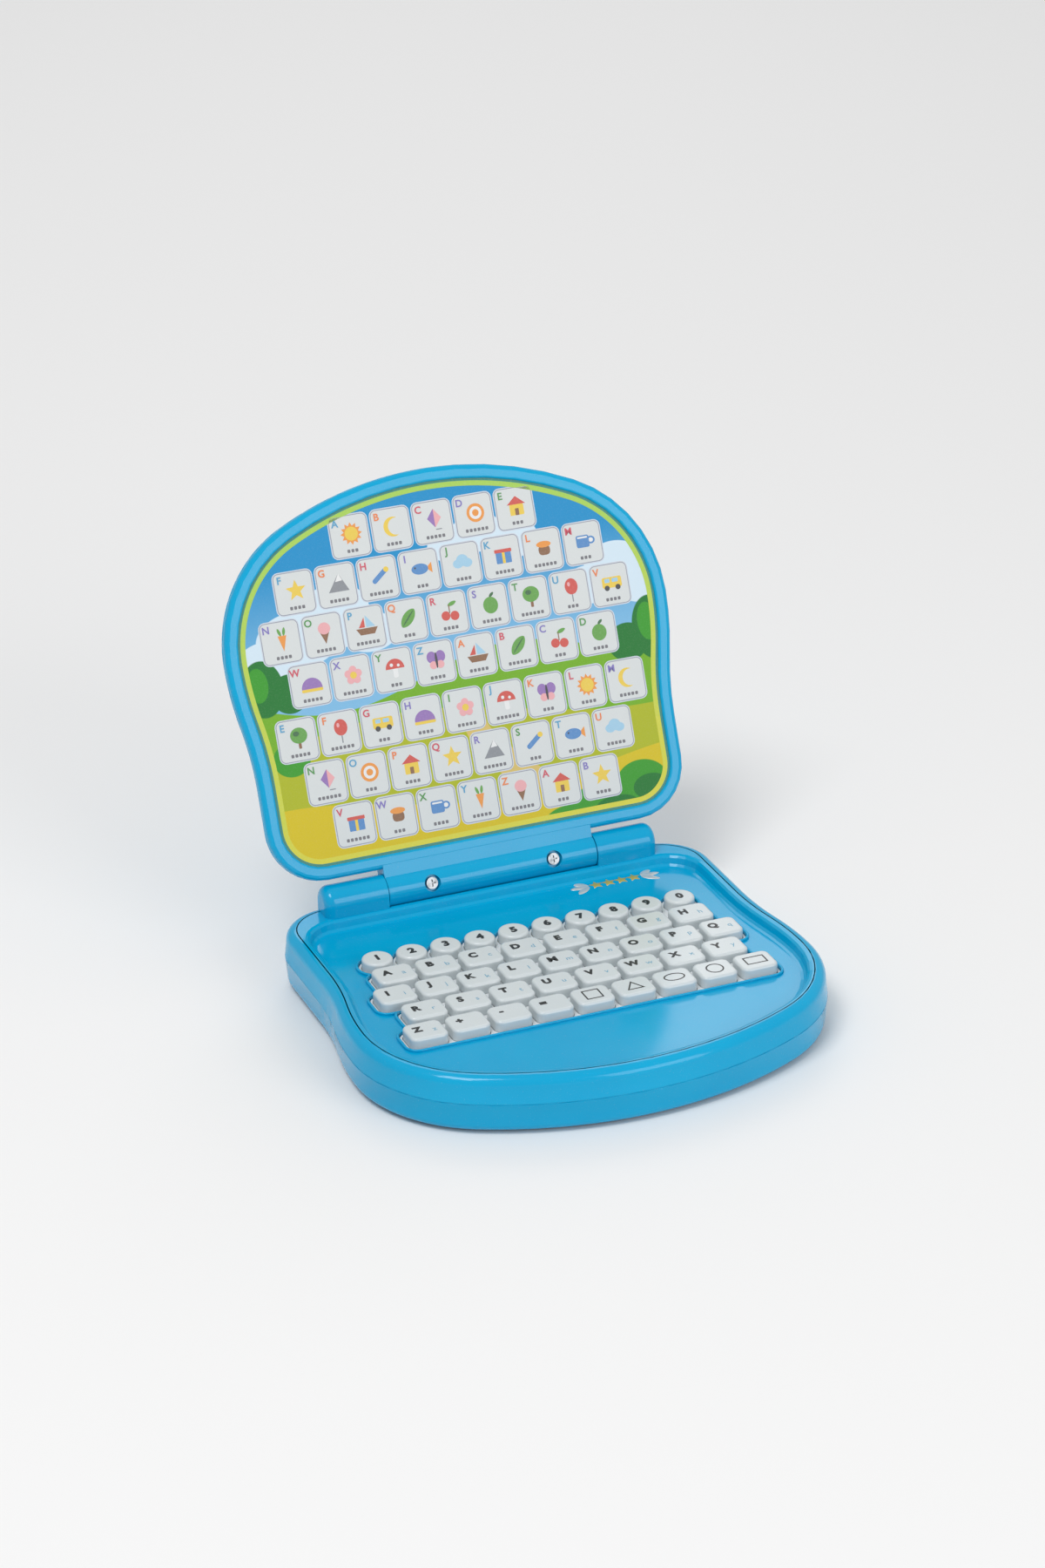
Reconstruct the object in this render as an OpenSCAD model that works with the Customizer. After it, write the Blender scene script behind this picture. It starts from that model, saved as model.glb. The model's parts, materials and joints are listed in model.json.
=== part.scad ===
// Toy laptop computer: a clam-shell case with a printed card in the lid, a
// staggered keyboard of separate caps in the base, and the works below it.
// Millimetres, +Z up. The user sits at -Y, the hinge is at the back.
// Lengths called "reach" are measured from the hinge axis along a shell.

/* [Shell outline] */
// Width of the lid's waist beside the longest row of keys, on each side
side_margin = 15.1; // [13:0.1:18]
// How much wider the lid is at its bulge than at its waist
bulge_extra_w = 11.4; // [6:0.2:20]
// Length of the base's nose, in front of the battery bay
nose_l = 18.6; // [18:0.1:26]
// Reach from the hinge axis to the near edge of the lid
lid_near_reach = 10; // [9.8:0.1:12]
// Reach at which the sides start to swell outwards
swell_reach = 55; // [45:1:65]
// Radius of the two corners near the hinge
near_corner_r = 25; // [18:0.5:34]
// Radius of the two shoulders at the far end
shoulder_r = 63; // [50:1:70]
// Radius of the domed far edge
dome_r = 165; // [150:1:210]
// How far the base stands out past the lid, all round
base_margin = 2; // [1:0.1:4]
// How far the base reaches behind the hinge axis
base_back_reach = 7.9; // [7.9:0.1:9]

/* [Base] */
// Height of the hinge axis above the rim
hinge_rise = 4.8; // [4.7:0.1:8]
// Free height between the battery bay and the deck
deck_gap = 1.3; // [0.8:0.1:2.5]
// Depth of the deck below the rim
deck_drop = 5.2; // [4.6:0.1:5.6]
// Height of the seam between the two halves of the base
seam_z = 15; // [14:0.1:15.6]
// Thickness of the moulded walls
wall = 2.2; // [1.8:0.1:2.6]
// Radius of the rounding outside the rim
rim_outer_r = 4.5; // [3:0.1:5]
// Width of the flat crest of the rim
rim_crest_w = 1.2; // [0.6:0.1:2]
// Radius of the rounding inside the rim
rim_inner_r = 2.5; // [2:0.1:2.6]
// How far the rim's inner edge stands in front of the hinge axis
rim_front_reach = 7.2; // [7:0.1:9]
// Slope of the outer walls, as a lean over their height
wall_lean = 0.8; // [0.2:0.1:1.5]
// Radius of the rounding under the base
under_r = 4; // [3:0.1:5]
// Height of the moulded feet
foot_h = 1.2; // [0.8:0.1:2]
// Radius of the moulded feet
foot_r = 6; // [4:0.1:8]

/* [Lid] */
// Lean of the open lid, back from upright, in degrees
lid_lean = 23; // [10:0.5:30]
// Height of the lid's front face above the hinge axis plane
face_w = 4.3; // [4:0.1:4.4]
// Depth of the back shell's side wall behind the seam
back_depth = 4.7; // [4:0.1:5.5]
// Rise of the domed back above its side wall
back_dome = 2.8; // [1.5:0.1:4]
// Width of the frame round the picture
frame_w = 6.3; // [5:0.1:8]
// Thickness of the frame's lip over the picture
lip_t = 1.1; // [0.8:0.1:1.4]
// Radius of the rounding along the window's edge
window_edge_r = 1; // [0.5:0.1:1.1]
// Radius of the rounding along the lid's edges
lid_edge_r = 2.2; // [1.5:0.1:2.6]
// Thickness of the printed card
card_t = 0.8; // [0.5:0.1:1]
// Width of the card's border that hides behind the frame
card_tuck = 1.6; // [1:0.1:2.5]
// Thickness of the ribs inside the shells
rib_t = 1.6; // [1.2:0.1:2]
// Pitch of the ribs inside the lid
rib_pitch = 40; // [30:1:50]

/* [Hinge] */
// Radius of the lid's barrel
barrel_r = 7.6; // [7.2:0.1:7.8]
// Length of the lid's barrel
barrel_l = 101.4; // [90:0.2:120]
// Length of each knuckle on the base
knuckle_l = 29.8; // [24:0.2:34]
// How much the knuckles stand out past the barrel
knuckle_extra_r = 0.3; // [0:0.1:0.6]
// Radius of the rounding at the knuckles' outer ends
knuckle_end_r = 4; // [2:0.1:5]
// Gap between the barrel and each knuckle
knuckle_gap = 0.4; // [0.3:0.05:0.8]
// Gap between the barrel and its trough in the base
trough_gap = 0.5; // [0.35:0.05:0.8]
// Radius of the stub shafts
shaft_r = 2.4; // [1.8:0.1:3]
// Length of the stub shafts past the knuckles
shaft_l = 8; // [5:0.1:12]
// Radial running clearance round the stub shafts
shaft_fit = 0.05; // [0.03:0.01:0.1]
// Distance of each hinge screw from the middle
hinge_screw_x = 29.7; // [20:0.1:38]
// Radius of the recess round a hinge screw
hinge_well_r = 3.85; // [3.4:0.05:4.2]

/* [Keys] */
// Number of round keys in the back row
round_keys = 10; // [8:1:10]
// Gap between the round keys
round_gap = 2.4; // [2:0.1:2.6]
// Diameter of a round key
round_d = 13.8; // [12:0.1:14]
// Pitch of the keys in a row of nine
nine_pitch = 19.4; // [19.2:0.1:20]
// Pitch of the keys in a row of eight
eight_pitch = 20.3; // [19.4:0.1:21]
// Gap between the keys of one row
key_gap = 2.2; // [2:0.1:3]
// Depth of a key, from back to front
key_d = 14.8; // [13:0.1:15]
// Gap between the round keys and the second row
round_row_gap = 2.1; // [1.8:0.1:3]
// Gap between the other rows
row_gap = 3; // [2.4:0.1:4]
// Distance from the hinge axis to the round keys
first_row_reach = 49; // [44:0.5:52]
// Corner radius of a key
key_corner_r = 3.4; // [2:0.1:5]
// Radius of the rounding along a key's top edge
key_edge_r = 1.3; // [0.6:0.1:1.6]
// Height of the keys below the rim
key_sink = 0.4; // [0.2:0.1:1]
// Travel of a key
key_travel = 1.5; // [1:0.1:1.6]
// Clearance round a key in the key plate
key_fit = 0.3; // [0.2:0.05:0.4]
// Width of a key's retaining flange
key_flange_w = 0.7; // [0.5:0.05:0.8]
// Thickness of a key's retaining flange
key_flange_t = 1.2; // [0.8:0.1:1.5]
// Radius of the stem under a key
stem_r = 2; // [1.5:0.1:2.5]

/* [Key plate] */
// Margin of the white plate round the keys
plate_margin = 1.6; // [1.2:0.1:2.2]
// Clearance between the plate and the deck's opening
plate_fit = 0.25; // [0.15:0.05:0.4]
// Depth of the plate's top below the deck
plate_drop = 0.4; // [0.2:0.1:0.8]
// Width of the plate's border under the deck
plate_border = 3; // [2:0.1:4]
// Thickness of the plate's border
plate_t = 1.6; // [1.2:0.1:2]
// Width of the raised lip round the keyboard
lip_w = 1.2; // [0.8:0.1:1.8]
// Height of the raised lip round the keyboard
lip_h = 0.9; // [0.4:0.1:1.4]

/* [Works] */
// Thickness of the rubber mat
mat_t = 1; // [0.8:0.1:1.4]
// Height of the domes on the rubber mat
dome_h = 2; // [1.6:0.1:2.2]
// Outer radius of the domes
dome_outer_r = 4.4; // [4:0.1:5]
// Thickness of a dome's wall
dome_wall = 0.8; // [0.6:0.1:1]
// How far the circuit board reaches past the first and the last row
board_margin = 4; // [3:0.1:5]
// Clearance between the circuit board and the screw bosses beside it
board_gap = 3; // [2:0.1:5]
// Thickness of the circuit board
board_t = 1.6; // [1.2:0.1:2]
// Diameter of a battery
battery_d = 14.5; // [14.5]
// Length of a battery without its button
battery_l = 49.2; // [49.2]
// Diameter of the speaker
speaker_d = 36; // [30:1:37]
// Depth of the speaker
speaker_h = 10; // [8:0.5:11]
// Clearance between the speaker and the outer wall
speaker_gap = 1; // [0.6:0.1:2]
// Direction of the speaker from its shoulder's centre, in degrees
speaker_turn = 70; // [68:1:74]
// Gap between the circuit board and the battery bay, for the leads
bay_gap = 4; // [3:0.1:6]
// Distance of the battery bay's centre from the middle
bay_x = 6; // [2:0.5:10]
// Clearance round the batteries
bay_fit = 0.5; // [0.3:0.1:0.8]
// Thickness of the battery bay's walls
bay_wall = 1.6; // [1.2:0.1:2]
// Length of the free space left for the contacts at both ends
contact_l = 8; // [7:0.5:10]
// Clearance round the battery door
door_fit = 0.3; // [0.2:0.05:0.5]
// Width of the ledge that the battery door sits on
door_ledge = 2.5; // [2:0.1:3]
// Length of the switch knob
switch_l = 7; // [6:0.1:9]
// Width of the switch knob
switch_w = 4; // [3:0.1:5]
// Travel of the switch knob
switch_travel = 3; // [2:0.1:4]

/* [Screws] */
// Radius of a screw's head
head_r = 2.7; // [2.4:0.05:2.9]
// Height of a screw's head
head_h = 1.7; // [1.4:0.1:2]
// Radius of a screw's shank
shank_r = 1.3; // [1.1:0.05:1.5]
// Radial clearance round a shank in its first part
shank_fit = 0.25; // [0.15:0.05:0.4]
// Radius of the bosses that take the case screws
boss_r = 3.6; // [3.4:0.1:4.5]
// Distance of the case screws in from the base's edge
case_screw_inset = 11; // [10:0.1:12]

/* [Hidden] */
$fn = 64;

SHELL_BLUE = [0.20, 0.62, 0.90];
KEY_WHITE = [0.90, 0.91, 0.92];
STEEL = [0.75, 0.75, 0.77];

// --- Keyboard layout -------------------------------------------------------
// One entry per key: name, shape ("round" or "block"), row number, place in
// its row counted from the middle, pitch of its row.
round_pitch = round_d + round_gap;
round_row_pitch = round_d / 2 + round_row_gap + key_d / 2;
row_pitch = key_d + row_gap;
ROW_NAMES = [
    ["key_1", "key_2", "key_3", "key_4", "key_5", "key_6", "key_7", "key_8", "key_9", "key_0"],
    ["key_a", "key_b", "key_c", "key_d", "key_e", "key_f", "key_g", "key_h"],
    ["key_i", "key_j", "key_k", "key_l", "key_m", "key_n", "key_o", "key_p", "key_q"],
    ["key_r", "key_s", "key_t", "key_u", "key_v", "key_w", "key_x", "key_y"],
    ["key_z", "key_plus", "key_minus", "key_equals", "key_square", "key_triangle", "key_ellipse",
     "key_circle", "key_rectangle"]];
KEYS = [for (row = [0:len(ROW_NAMES) - 1])
    for (i = [0:row_count(row) - 1])
        [ROW_NAMES[row][i], row, (i - (row_count(row) - 1) / 2) * row_key_pitch(row)]];
function row_count(row) = row == 0 ? round_keys : len(ROW_NAMES[row]);
function row_key_pitch(row) = row == 0 ? round_pitch : row_count(row) == 9 ? nine_pitch : eight_pitch;
function row_reach(row) = row == 0 ? first_row_reach
    : first_row_reach + round_row_pitch + (row - 1) * row_pitch;
function row_key_w(row) = row == 0 ? round_d : row_key_pitch(row) - key_gap;
function row_half_w(row) = (row_count(row) - 1) / 2 * row_key_pitch(row) + row_key_w(row) / 2;
last_row = len(ROW_NAMES) - 1;
keys_half_w = max([for (row = [0:last_row]) row_half_w(row)]);

// --- Heights in the base, above the table ----------------------------------
floor_z = foot_h + wall;
bay_head_h = 0.6;
bay_top_z = floor_z + battery_d + bay_head_h;
deck_under_z = bay_top_z + deck_gap;
deck_z = deck_under_z + wall;
rim_z = deck_z + deck_drop;
hinge_z = rim_z + hinge_rise;
plate_top_z = deck_z - plate_drop;
plate_under_z = deck_under_z - plate_t;
key_top_z = rim_z - key_sink;
flange_under_z = plate_under_z - key_flange_t;
stem_under_z = flange_under_z - key_travel - 0.1;
mat_pad_h = 0.3;
pad_gap = 0.2;
mat_top_z = stem_under_z - key_travel - mat_pad_h - pad_gap;
board_top_z = mat_top_z - mat_t;
board_under_z = board_top_z - board_t;

// --- Reaches in the base, from the hinge axis forwards ----------------------
battery_rows = 2;
bay_in_l = battery_l + 1 + contact_l;
bay_in_d = battery_rows * battery_d + (battery_rows + 1) * bay_fit;
board_back_reach = row_reach(0) - key_d / 2 - board_margin;
board_front_reach = row_reach(last_row) + key_d / 2 + board_margin;
bay_back_reach = board_front_reach + bay_gap;
bay_reach = bay_back_reach + bay_wall + bay_in_d / 2;
bay_front_reach = bay_reach + bay_in_d / 2 + bay_wall;
base_reach = bay_front_reach + nose_l;
lid_reach = base_reach - base_margin;

// --- Outlines ---------------------------------------------------------------
// Half outlines run from the near edge's middle to the far edge's middle.
lid_half_w = keys_half_w + side_margin;
lid_bulge = lid_half_w + bulge_extra_w / 2;
base_half_w = lid_half_w + base_margin;
base_bulge = lid_bulge + base_margin;
arc_steps = 7;

function arc(centre, r, from, to, steps) =
    [for (i = [0:steps]) let (a = from + (to - from) * i / steps) centre + r * [cos(a), sin(a)]];

// The centre of a shoulder's arc, where the dome's arc runs into it.
function shoulder_centre(bulge, far) =
    [bulge - shoulder_r, far - dome_r + sqrt(pow(dome_r - shoulder_r, 2) - pow(bulge - shoulder_r, 2))];

// The closed outline of a shell in its own plane, x across and y along the
// reach, moved inwards by inset. Arcs meet each other tangentially.
function shell_outline(half_w, bulge, near, far, inset) =
    let (
        dome_c = [0, far - dome_r],
        shoulder_c = shoulder_centre(bulge, far),
        shoulder_a = atan2(shoulder_c[1] - dome_c[1], shoulder_c[0]),
        swell_a = 2 * atan((bulge - half_w) / (shoulder_c[1] - swell_reach)),
        swell_r = (shoulder_c[1] - swell_reach) / (2 * sin(swell_a)),
        half = concat(
            arc([half_w - near_corner_r, near + near_corner_r], near_corner_r - inset, -90, 0, arc_steps),
            arc([half_w + swell_r, swell_reach], swell_r + inset, 180, 180 - swell_a, 3),
            arc([bulge - swell_r, shoulder_c[1]], swell_r - inset, -swell_a, 0, 3),
            arc(shoulder_c, shoulder_r - inset, 0, shoulder_a, arc_steps),
            arc(dome_c, dome_r - inset, shoulder_a, 90, 5)),
        right = [for (i = [0:len(half) - 1]) if (i == 0 || norm(half[i] - half[i - 1]) > 0.01) half[i]],
        n = len(right))
    concat(right, [for (i = [n - 2:-1:0]) [-right[i][0], right[i][1]]]);

function lid_outline(inset) = shell_outline(lid_half_w, lid_bulge, lid_near_reach, lid_reach, inset);
// The base lies the other way round: its reach runs towards -Y. Its back
// edge can be brought forwards by back_shift, for the broad rim at the hinge.
function base_outline(inset, back_shift = 0) =
    [for (p = shell_outline(base_half_w, base_bulge, back_shift - base_back_reach, base_reach, inset))
        [-p[0], -p[1]]];

// A solid through a stack of outlines with equal numbers of points. Each
// section is [outline, height], from the lowest to the highest along the skin.
module loft(sections) {
    n = len(sections[0][0]);
    m = len(sections);
    points = [for (s = sections) for (p = s[0]) [p[0], p[1], s[1]]];
    sides = [for (j = [0:m - 2]) for (i = [0:n - 1]) let (k = (i + 1) % n)
        [j * n + i, (j + 1) * n + i, (j + 1) * n + k, j * n + k]];
    bottom = [for (i = [0:n - 1]) i];
    top = [for (i = [n - 1:-1:0]) (m - 1) * n + i];
    polyhedron(points = points, faces = concat(sides, [bottom, top]), convexity = 6);
}

// --- Small shared shapes ----------------------------------------------------
module rounded_rect(w, d, r) {
    square([w - 2 * r, d], center = true);
    square([w, d - 2 * r], center = true);
    for (sx = [-1, 1], sy = [-1, 1]) translate([sx * (w / 2 - r), sy * (d / 2 - r)]) circle(r);
}

// A block with rounded corners and a rounded top edge, standing on z = 0.
module soft_block(w, d, h, corner, edge) {
    linear_extrude(h - edge) rounded_rect(w, d, corner);
    linear_extrude(h) rounded_rect(w - 2 * edge, d - 2 * edge, corner - edge);
    for (s = [-1, 1]) {
        translate([0, s * (d / 2 - edge), h - edge]) rotate([0, 90, 0])
            cylinder(r = edge, h = w - 2 * corner, center = true);
        translate([s * (w / 2 - edge), 0, h - edge]) rotate([90, 0, 0])
            cylinder(r = edge, h = d - 2 * corner, center = true);
    }
    for (sx = [-1, 1], sy = [-1, 1])
        translate([sx * (w / 2 - corner), sy * (d / 2 - corner), h - edge])
            rotate_extrude() translate([corner - edge, 0]) circle(edge, $fn = 32);
}

slot_w = 0.7;
slot_h = 0.8;

// A screw with its head's top at z = 0 and its shank pointing down.
module screw(shank_l) {
    difference() {
        translate([0, 0, -head_h]) cylinder(r = head_r, h = head_h);
        for (a = [0, 90]) rotate(a) cube([head_r * 1.2, slot_w, 2 * slot_h], center = true);
    }
    translate([0, 0, -head_h - shank_l]) cylinder(r = shank_r, h = shank_l + 0.2);
}

// --- Keyboard outline -------------------------------------------------------
// The stepped outline of the keyboard, grown by a margin past the keys.
module keyboard_outline(margin) {
    for (key = KEYS) if (key[1] == 0)
        translate([key[2], -first_row_reach]) circle(round_d / 2 + margin);
    for (row = [1:last_row]) translate([0, -row_reach(row)])
        rounded_rect(2 * (row_half_w(row) + margin), key_d + 2 * margin, key_corner_r + margin);
    // The rows join along their middles.
    back = row_reach(0);
    front = row_reach(last_row);
    inner_w = (round_keys - 1) * round_pitch;
    translate([-inner_w / 2, -front]) square([inner_w, front - back]);
}

// Everything is drawn round the hinge axis's shadow on the table, and then
// moved so that the origin lies under the middle of the open laptop.
module placed() {
    translate([0, -middle_y, 0]) children();
}
// The lid's own frame: x across, y along the reach, z out of its front face.
module on_lid() {
    placed() translate([0, 0, hinge_z]) rotate([90 - lid_lean, 0, 0]) children();
}

// --- Base, upper half --------------------------------------------------------
quarter = [for (a = [0:30:90]) a];
crest_out = wall_lean + rim_outer_r;
crest_in = crest_out + rim_crest_w;
hollow_r = deck_drop - rim_inner_r;
rim_shift = base_back_reach + rim_front_reach - crest_in;
cavity_inset = wall + wall_lean;
base_top_skin = concat(
    [[base_outline(0), seam_z]],
    [for (a = quarter) [base_outline(wall_lean + rim_outer_r * (1 - cos(a))),
        rim_z - rim_outer_r * (1 - sin(a))]],
    [for (a = quarter) [base_outline(crest_in + rim_inner_r * sin(a), rim_shift),
        rim_z - rim_inner_r * (1 - cos(a))]],
    [for (a = [30, 60, 90]) [base_outline(crest_in + rim_inner_r + hollow_r * (1 - cos(a)), rim_shift),
        rim_z - rim_inner_r - hollow_r * sin(a)]]);

knuckle_r = barrel_r + knuckle_extra_r;
knuckle_x = barrel_l / 2 + knuckle_gap;
shoulder = shoulder_centre(base_bulge, base_reach);
back_screw_x = base_half_w - case_screw_inset;
back_screw_reach = 24;
front_screw_x = base_bulge - case_screw_inset;
case_screw_places = [
    [back_screw_x, -back_screw_reach], [-back_screw_x, -back_screw_reach],
    [front_screw_x, -shoulder[1]], [-front_screw_x, -shoulder[1]],
    [0, case_screw_inset - base_reach]];

// One knuckle, to the right of the barrel, with its outer end rounded off.
module knuckle() {
    round_x = knuckle_l - knuckle_end_r;
    round_y = knuckle_r - knuckle_end_r;
    translate([knuckle_x, 0, hinge_z]) rotate([90, 0, 90]) rotate_extrude() {
        square([knuckle_r, round_x]);
        square([round_y, knuckle_l]);
        translate([round_y, round_x]) intersection() {
            circle(knuckle_end_r);
            square(knuckle_end_r);
        }
    }
    translate([knuckle_x, 0, deck_under_z]) linear_extrude(hinge_z - deck_under_z) {
        translate([0, -knuckle_r]) square([round_x, 2 * knuckle_r]);
        translate([0, -round_y]) square([knuckle_l, 2 * round_y]);
        for (y = [-round_y, round_y]) translate([round_x, y]) circle(knuckle_end_r);
    }
}

module stub_shaft() {
    translate([knuckle_x - knuckle_gap - shaft_l, 0, hinge_z]) rotate([0, 90, 0])
        cylinder(r = shaft_r, h = shaft_l + knuckle_gap + 1);
}

module base_top() placed() color(SHELL_BLUE) {
    difference() {
        union() {
            difference() {
                loft(base_top_skin);
                translate([0, 0, seam_z - 1]) linear_extrude(deck_under_z - seam_z + 1)
                    polygon(base_outline(cavity_inset));
                translate([0, 0, deck_under_z - 1]) linear_extrude(wall + 2) keyboard_outline(plate_margin);
            }
            translate([0, 0, deck_z - 0.1]) linear_extrude(lip_h + 0.1) difference() {
                keyboard_outline(plate_margin + lip_w);
                keyboard_outline(plate_margin);
            }
            knuckle();
            mirror([1, 0, 0]) knuckle();
            for (p = case_screw_places) translate([p[0], p[1], seam_z])
                cylinder(r = boss_r, h = deck_under_z - seam_z + 0.1);
        }
        translate([0, 0, hinge_z]) rotate([0, 90, 0])
            cylinder(r = barrel_r + trough_gap, h = 2 * knuckle_x, center = true);
        for (p = case_screw_places) translate([p[0], p[1], seam_z - 1])
            cylinder(r = shank_r, h = deck_under_z - seam_z + 1);
    }
    stub_shaft();
    mirror([1, 0, 0]) stub_shaft();
}

// --- Base, lower half --------------------------------------------------------
base_bottom_skin = concat(
    [for (a = quarter) [base_outline(wall_lean + under_r * (1 - sin(a))), foot_h + under_r * (1 - cos(a))]],
    [[base_outline(0), seam_z]]);
foot_inset = 15;
foot_turn = 31;
back_foot = [base_half_w - near_corner_r - 2 * foot_r, -3 * foot_r];
foot_from_shoulder = shoulder_r - foot_inset;
front_foot = [shoulder[0] + foot_from_shoulder * cos(foot_turn),
    -shoulder[1] - foot_from_shoulder * sin(foot_turn)];
foot_places = [back_foot, [-back_foot[0], back_foot[1]], front_foot, [-front_foot[0], front_foot[1]]];
boss_foot_r = boss_r + 0.6;
well_z = seam_z - 6;
well_r = head_r + 0.3;
board_post_r = 3;
board_w = 2 * (front_screw_x - boss_foot_r - board_gap);
board_d = board_front_reach - board_back_reach;
board_mid = -(board_back_reach + board_front_reach) / 2;
post_x = board_w / 2 - 2 * board_post_r;
inner_post_x = 48;
post_y = board_d / 2 - 3 * board_post_r;
board_post_places = [[post_x, -8], [-post_x, -8], [inner_post_x, post_y], [-inner_post_x, post_y],
    [inner_post_x, -post_y], [-inner_post_x, -post_y], [0, 0]];
door_tab_l = 9;
door_t = 1.3;
door_boss_r = head_r + 1.4;
door_seat_z = foot_h + head_h + 0.3;
grille_r = speaker_d / 2 - 5;
grille_hole_r = 1.2;
// The speaker lies along its shoulder's wall, and the switch opposite to it.
speaker_from_shoulder = shoulder_r - cavity_inset - speaker_gap - speaker_d / 2;
speaker_x = shoulder[0] + speaker_from_shoulder * cos(speaker_turn);
speaker_reach = shoulder[1] + speaker_from_shoulder * sin(speaker_turn);

module at_bay() {
    translate([bay_x, -bay_reach, 0]) children();
}
module at_speaker() {
    translate([-speaker_x, -speaker_reach, 0]) children();
}
module at_switch() {
    translate([speaker_x, -speaker_reach, 0]) children();
}

// The outline of the door, with the tab that takes its screw.
module door_outline(margin) {
    l = bay_in_l + 2 * door_ledge + door_tab_l + 2 * margin;
    translate([door_tab_l / 2, 0]) rounded_rect(l, bay_in_d + 2 * door_ledge + 2 * margin, 3);
}
module door_screw_place() {
    translate([bay_in_l / 2 + door_ledge + door_tab_l / 2 - 1, 0, 0]) children();
}

module base_bottom() placed() color(SHELL_BLUE) {
    difference() {
        union() {
            difference() {
                loft(base_bottom_skin);
                translate([0, 0, floor_z]) linear_extrude(seam_z) polygon(base_outline(cavity_inset));
            }
            for (p = foot_places) translate([p[0], p[1], 0]) cylinder(r = foot_r, h = foot_h + 0.1);
            for (p = case_screw_places) translate([p[0], p[1], foot_h])
                cylinder(r = boss_foot_r, h = seam_z - foot_h);
            for (p = board_post_places) translate([p[0], board_mid + p[1], floor_z - 0.1])
                cylinder(r = board_post_r, h = board_under_z - floor_z + 0.1);
            at_bay() {
                translate([0, 0, floor_z - 0.1]) linear_extrude(bay_top_z - floor_z + 0.1)
                    square([bay_in_l + 2 * bay_wall, bay_in_d + 2 * bay_wall], center = true);
                door_screw_place() translate([0, 0, floor_z - 0.1]) cylinder(r = door_boss_r + 1.4, h = 9);
            }
            // A ring that seats the speaker over its grille.
            at_speaker() translate([0, 0, floor_z - 0.1]) cylinder(r = speaker_d / 2 + wall, h = 3.1);
        }
        for (p = case_screw_places) translate([p[0], p[1], 0]) {
            translate([0, 0, foot_h - 1]) cylinder(r = well_r, h = well_z - foot_h + 1);
            cylinder(r = shank_r + shank_fit, h = seam_z + 1);
        }
        at_bay() {
            translate([0, 0, foot_h - 1]) linear_extrude(seam_z * 2)
                square([bay_in_l, bay_in_d], center = true);
            translate([0, 0, foot_h - 1]) linear_extrude(door_t + 1) door_outline(0);
            door_screw_place() {
                cylinder(r = door_boss_r + door_fit, h = door_seat_z + 1.3);
                cylinder(r = shank_r, h = floor_z + 8);
            }
            // Slots in the bay's back wall let the leads out.
            translate([lead_x - wire_r - lead_fit, bay_in_d / 2 - 1, battery_z + 2])
                cube([2 * (wire_r + lead_fit), bay_wall + 2, bay_top_z - battery_z]);
        }
        at_speaker() translate([0, 0, floor_z]) cylinder(r = speaker_d / 2 + 0.2, h = 5);
        // The speaker's grille: rings of round holes.
        at_speaker() translate([0, 0, foot_h - 1]) {
            cylinder(r = grille_hole_r, h = wall + 2);
            for (ring = [1:3]) for (i = [0:6 * ring - 1]) rotate(i * 60 / ring)
                translate([ring * grille_r / 3, 0, 0]) cylinder(r = grille_hole_r, h = wall + 2);
        }
        // The switch's slot.
        at_switch() translate([0, 0, foot_h - 1]) linear_extrude(wall + 2)
            rounded_rect(switch_l + switch_travel + 0.8, switch_w + 0.6, 1);
    }
}

// --- Keyboard ----------------------------------------------------------------
module key_plate() placed() color(KEY_WHITE) {
    difference() {
        union() {
            translate([0, 0, plate_under_z]) linear_extrude(plate_t)
                keyboard_outline(plate_margin + plate_border);
            translate([0, 0, plate_under_z]) linear_extrude(plate_top_z - plate_under_z)
                keyboard_outline(plate_margin - plate_fit);
            for (s = [-1, 1]) for (row = [1:2:3])
                translate([s * leg_x(row), -row_reach(row), board_top_z])
                    cylinder(r = leg_r, h = plate_under_z - board_top_z + 0.1);
        }
        for (key = KEYS) translate([key[2], -row_reach(key[1]), plate_under_z - 1])
            linear_extrude(plate_top_z - plate_under_z + 2)
                if (key[1] == 0) circle(round_d / 2 + key_fit);
                else rounded_rect(row_key_w(key[1]) + 2 * key_fit, key_d + 2 * key_fit,
                    key_corner_r + key_fit);
    }
}

// Legs stand the plate on the board, just past the ends of the shorter rows.
leg_r = 1.2;
function leg_x(row) = row_half_w(row) + plate_margin + plate_border - leg_r;

// A key, hollow from below, with a flange that holds it under the plate and
// a stem that presses the mat.
module key(row, x) placed() color(KEY_WHITE) translate([x, -row_reach(row), 0]) {
    cap_t = 1.5;
    cap_wall = 1.3;
    w = row_key_w(row);
    h = key_top_z - flange_under_z;
    translate([0, 0, flange_under_z]) difference() {
        if (row == 0) {
            union() {
                rotate_extrude() union() {
                    square([w / 2, h - key_edge_r]);
                    square([w / 2 - key_edge_r, h]);
                    translate([w / 2 - key_edge_r, h - key_edge_r]) circle(key_edge_r, $fn = 32);
                }
                cylinder(r = w / 2 + key_flange_w, h = key_flange_t);
            }
        } else {
            union() {
                soft_block(w, key_d, h, key_corner_r, key_edge_r);
                linear_extrude(key_flange_t)
                    rounded_rect(w + 2 * key_flange_w, key_d + 2 * key_flange_w, key_corner_r + key_flange_w);
            }
        }
        translate([0, 0, -1]) linear_extrude(h - cap_t + 1)
            if (row == 0) circle(w / 2 - cap_wall);
            else rounded_rect(w - 2 * cap_wall, key_d - 2 * cap_wall, key_corner_r - cap_wall);
    }
    translate([0, 0, stem_under_z]) cylinder(r = stem_r, h = key_top_z - cap_t - stem_under_z + 0.1);
}

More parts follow.
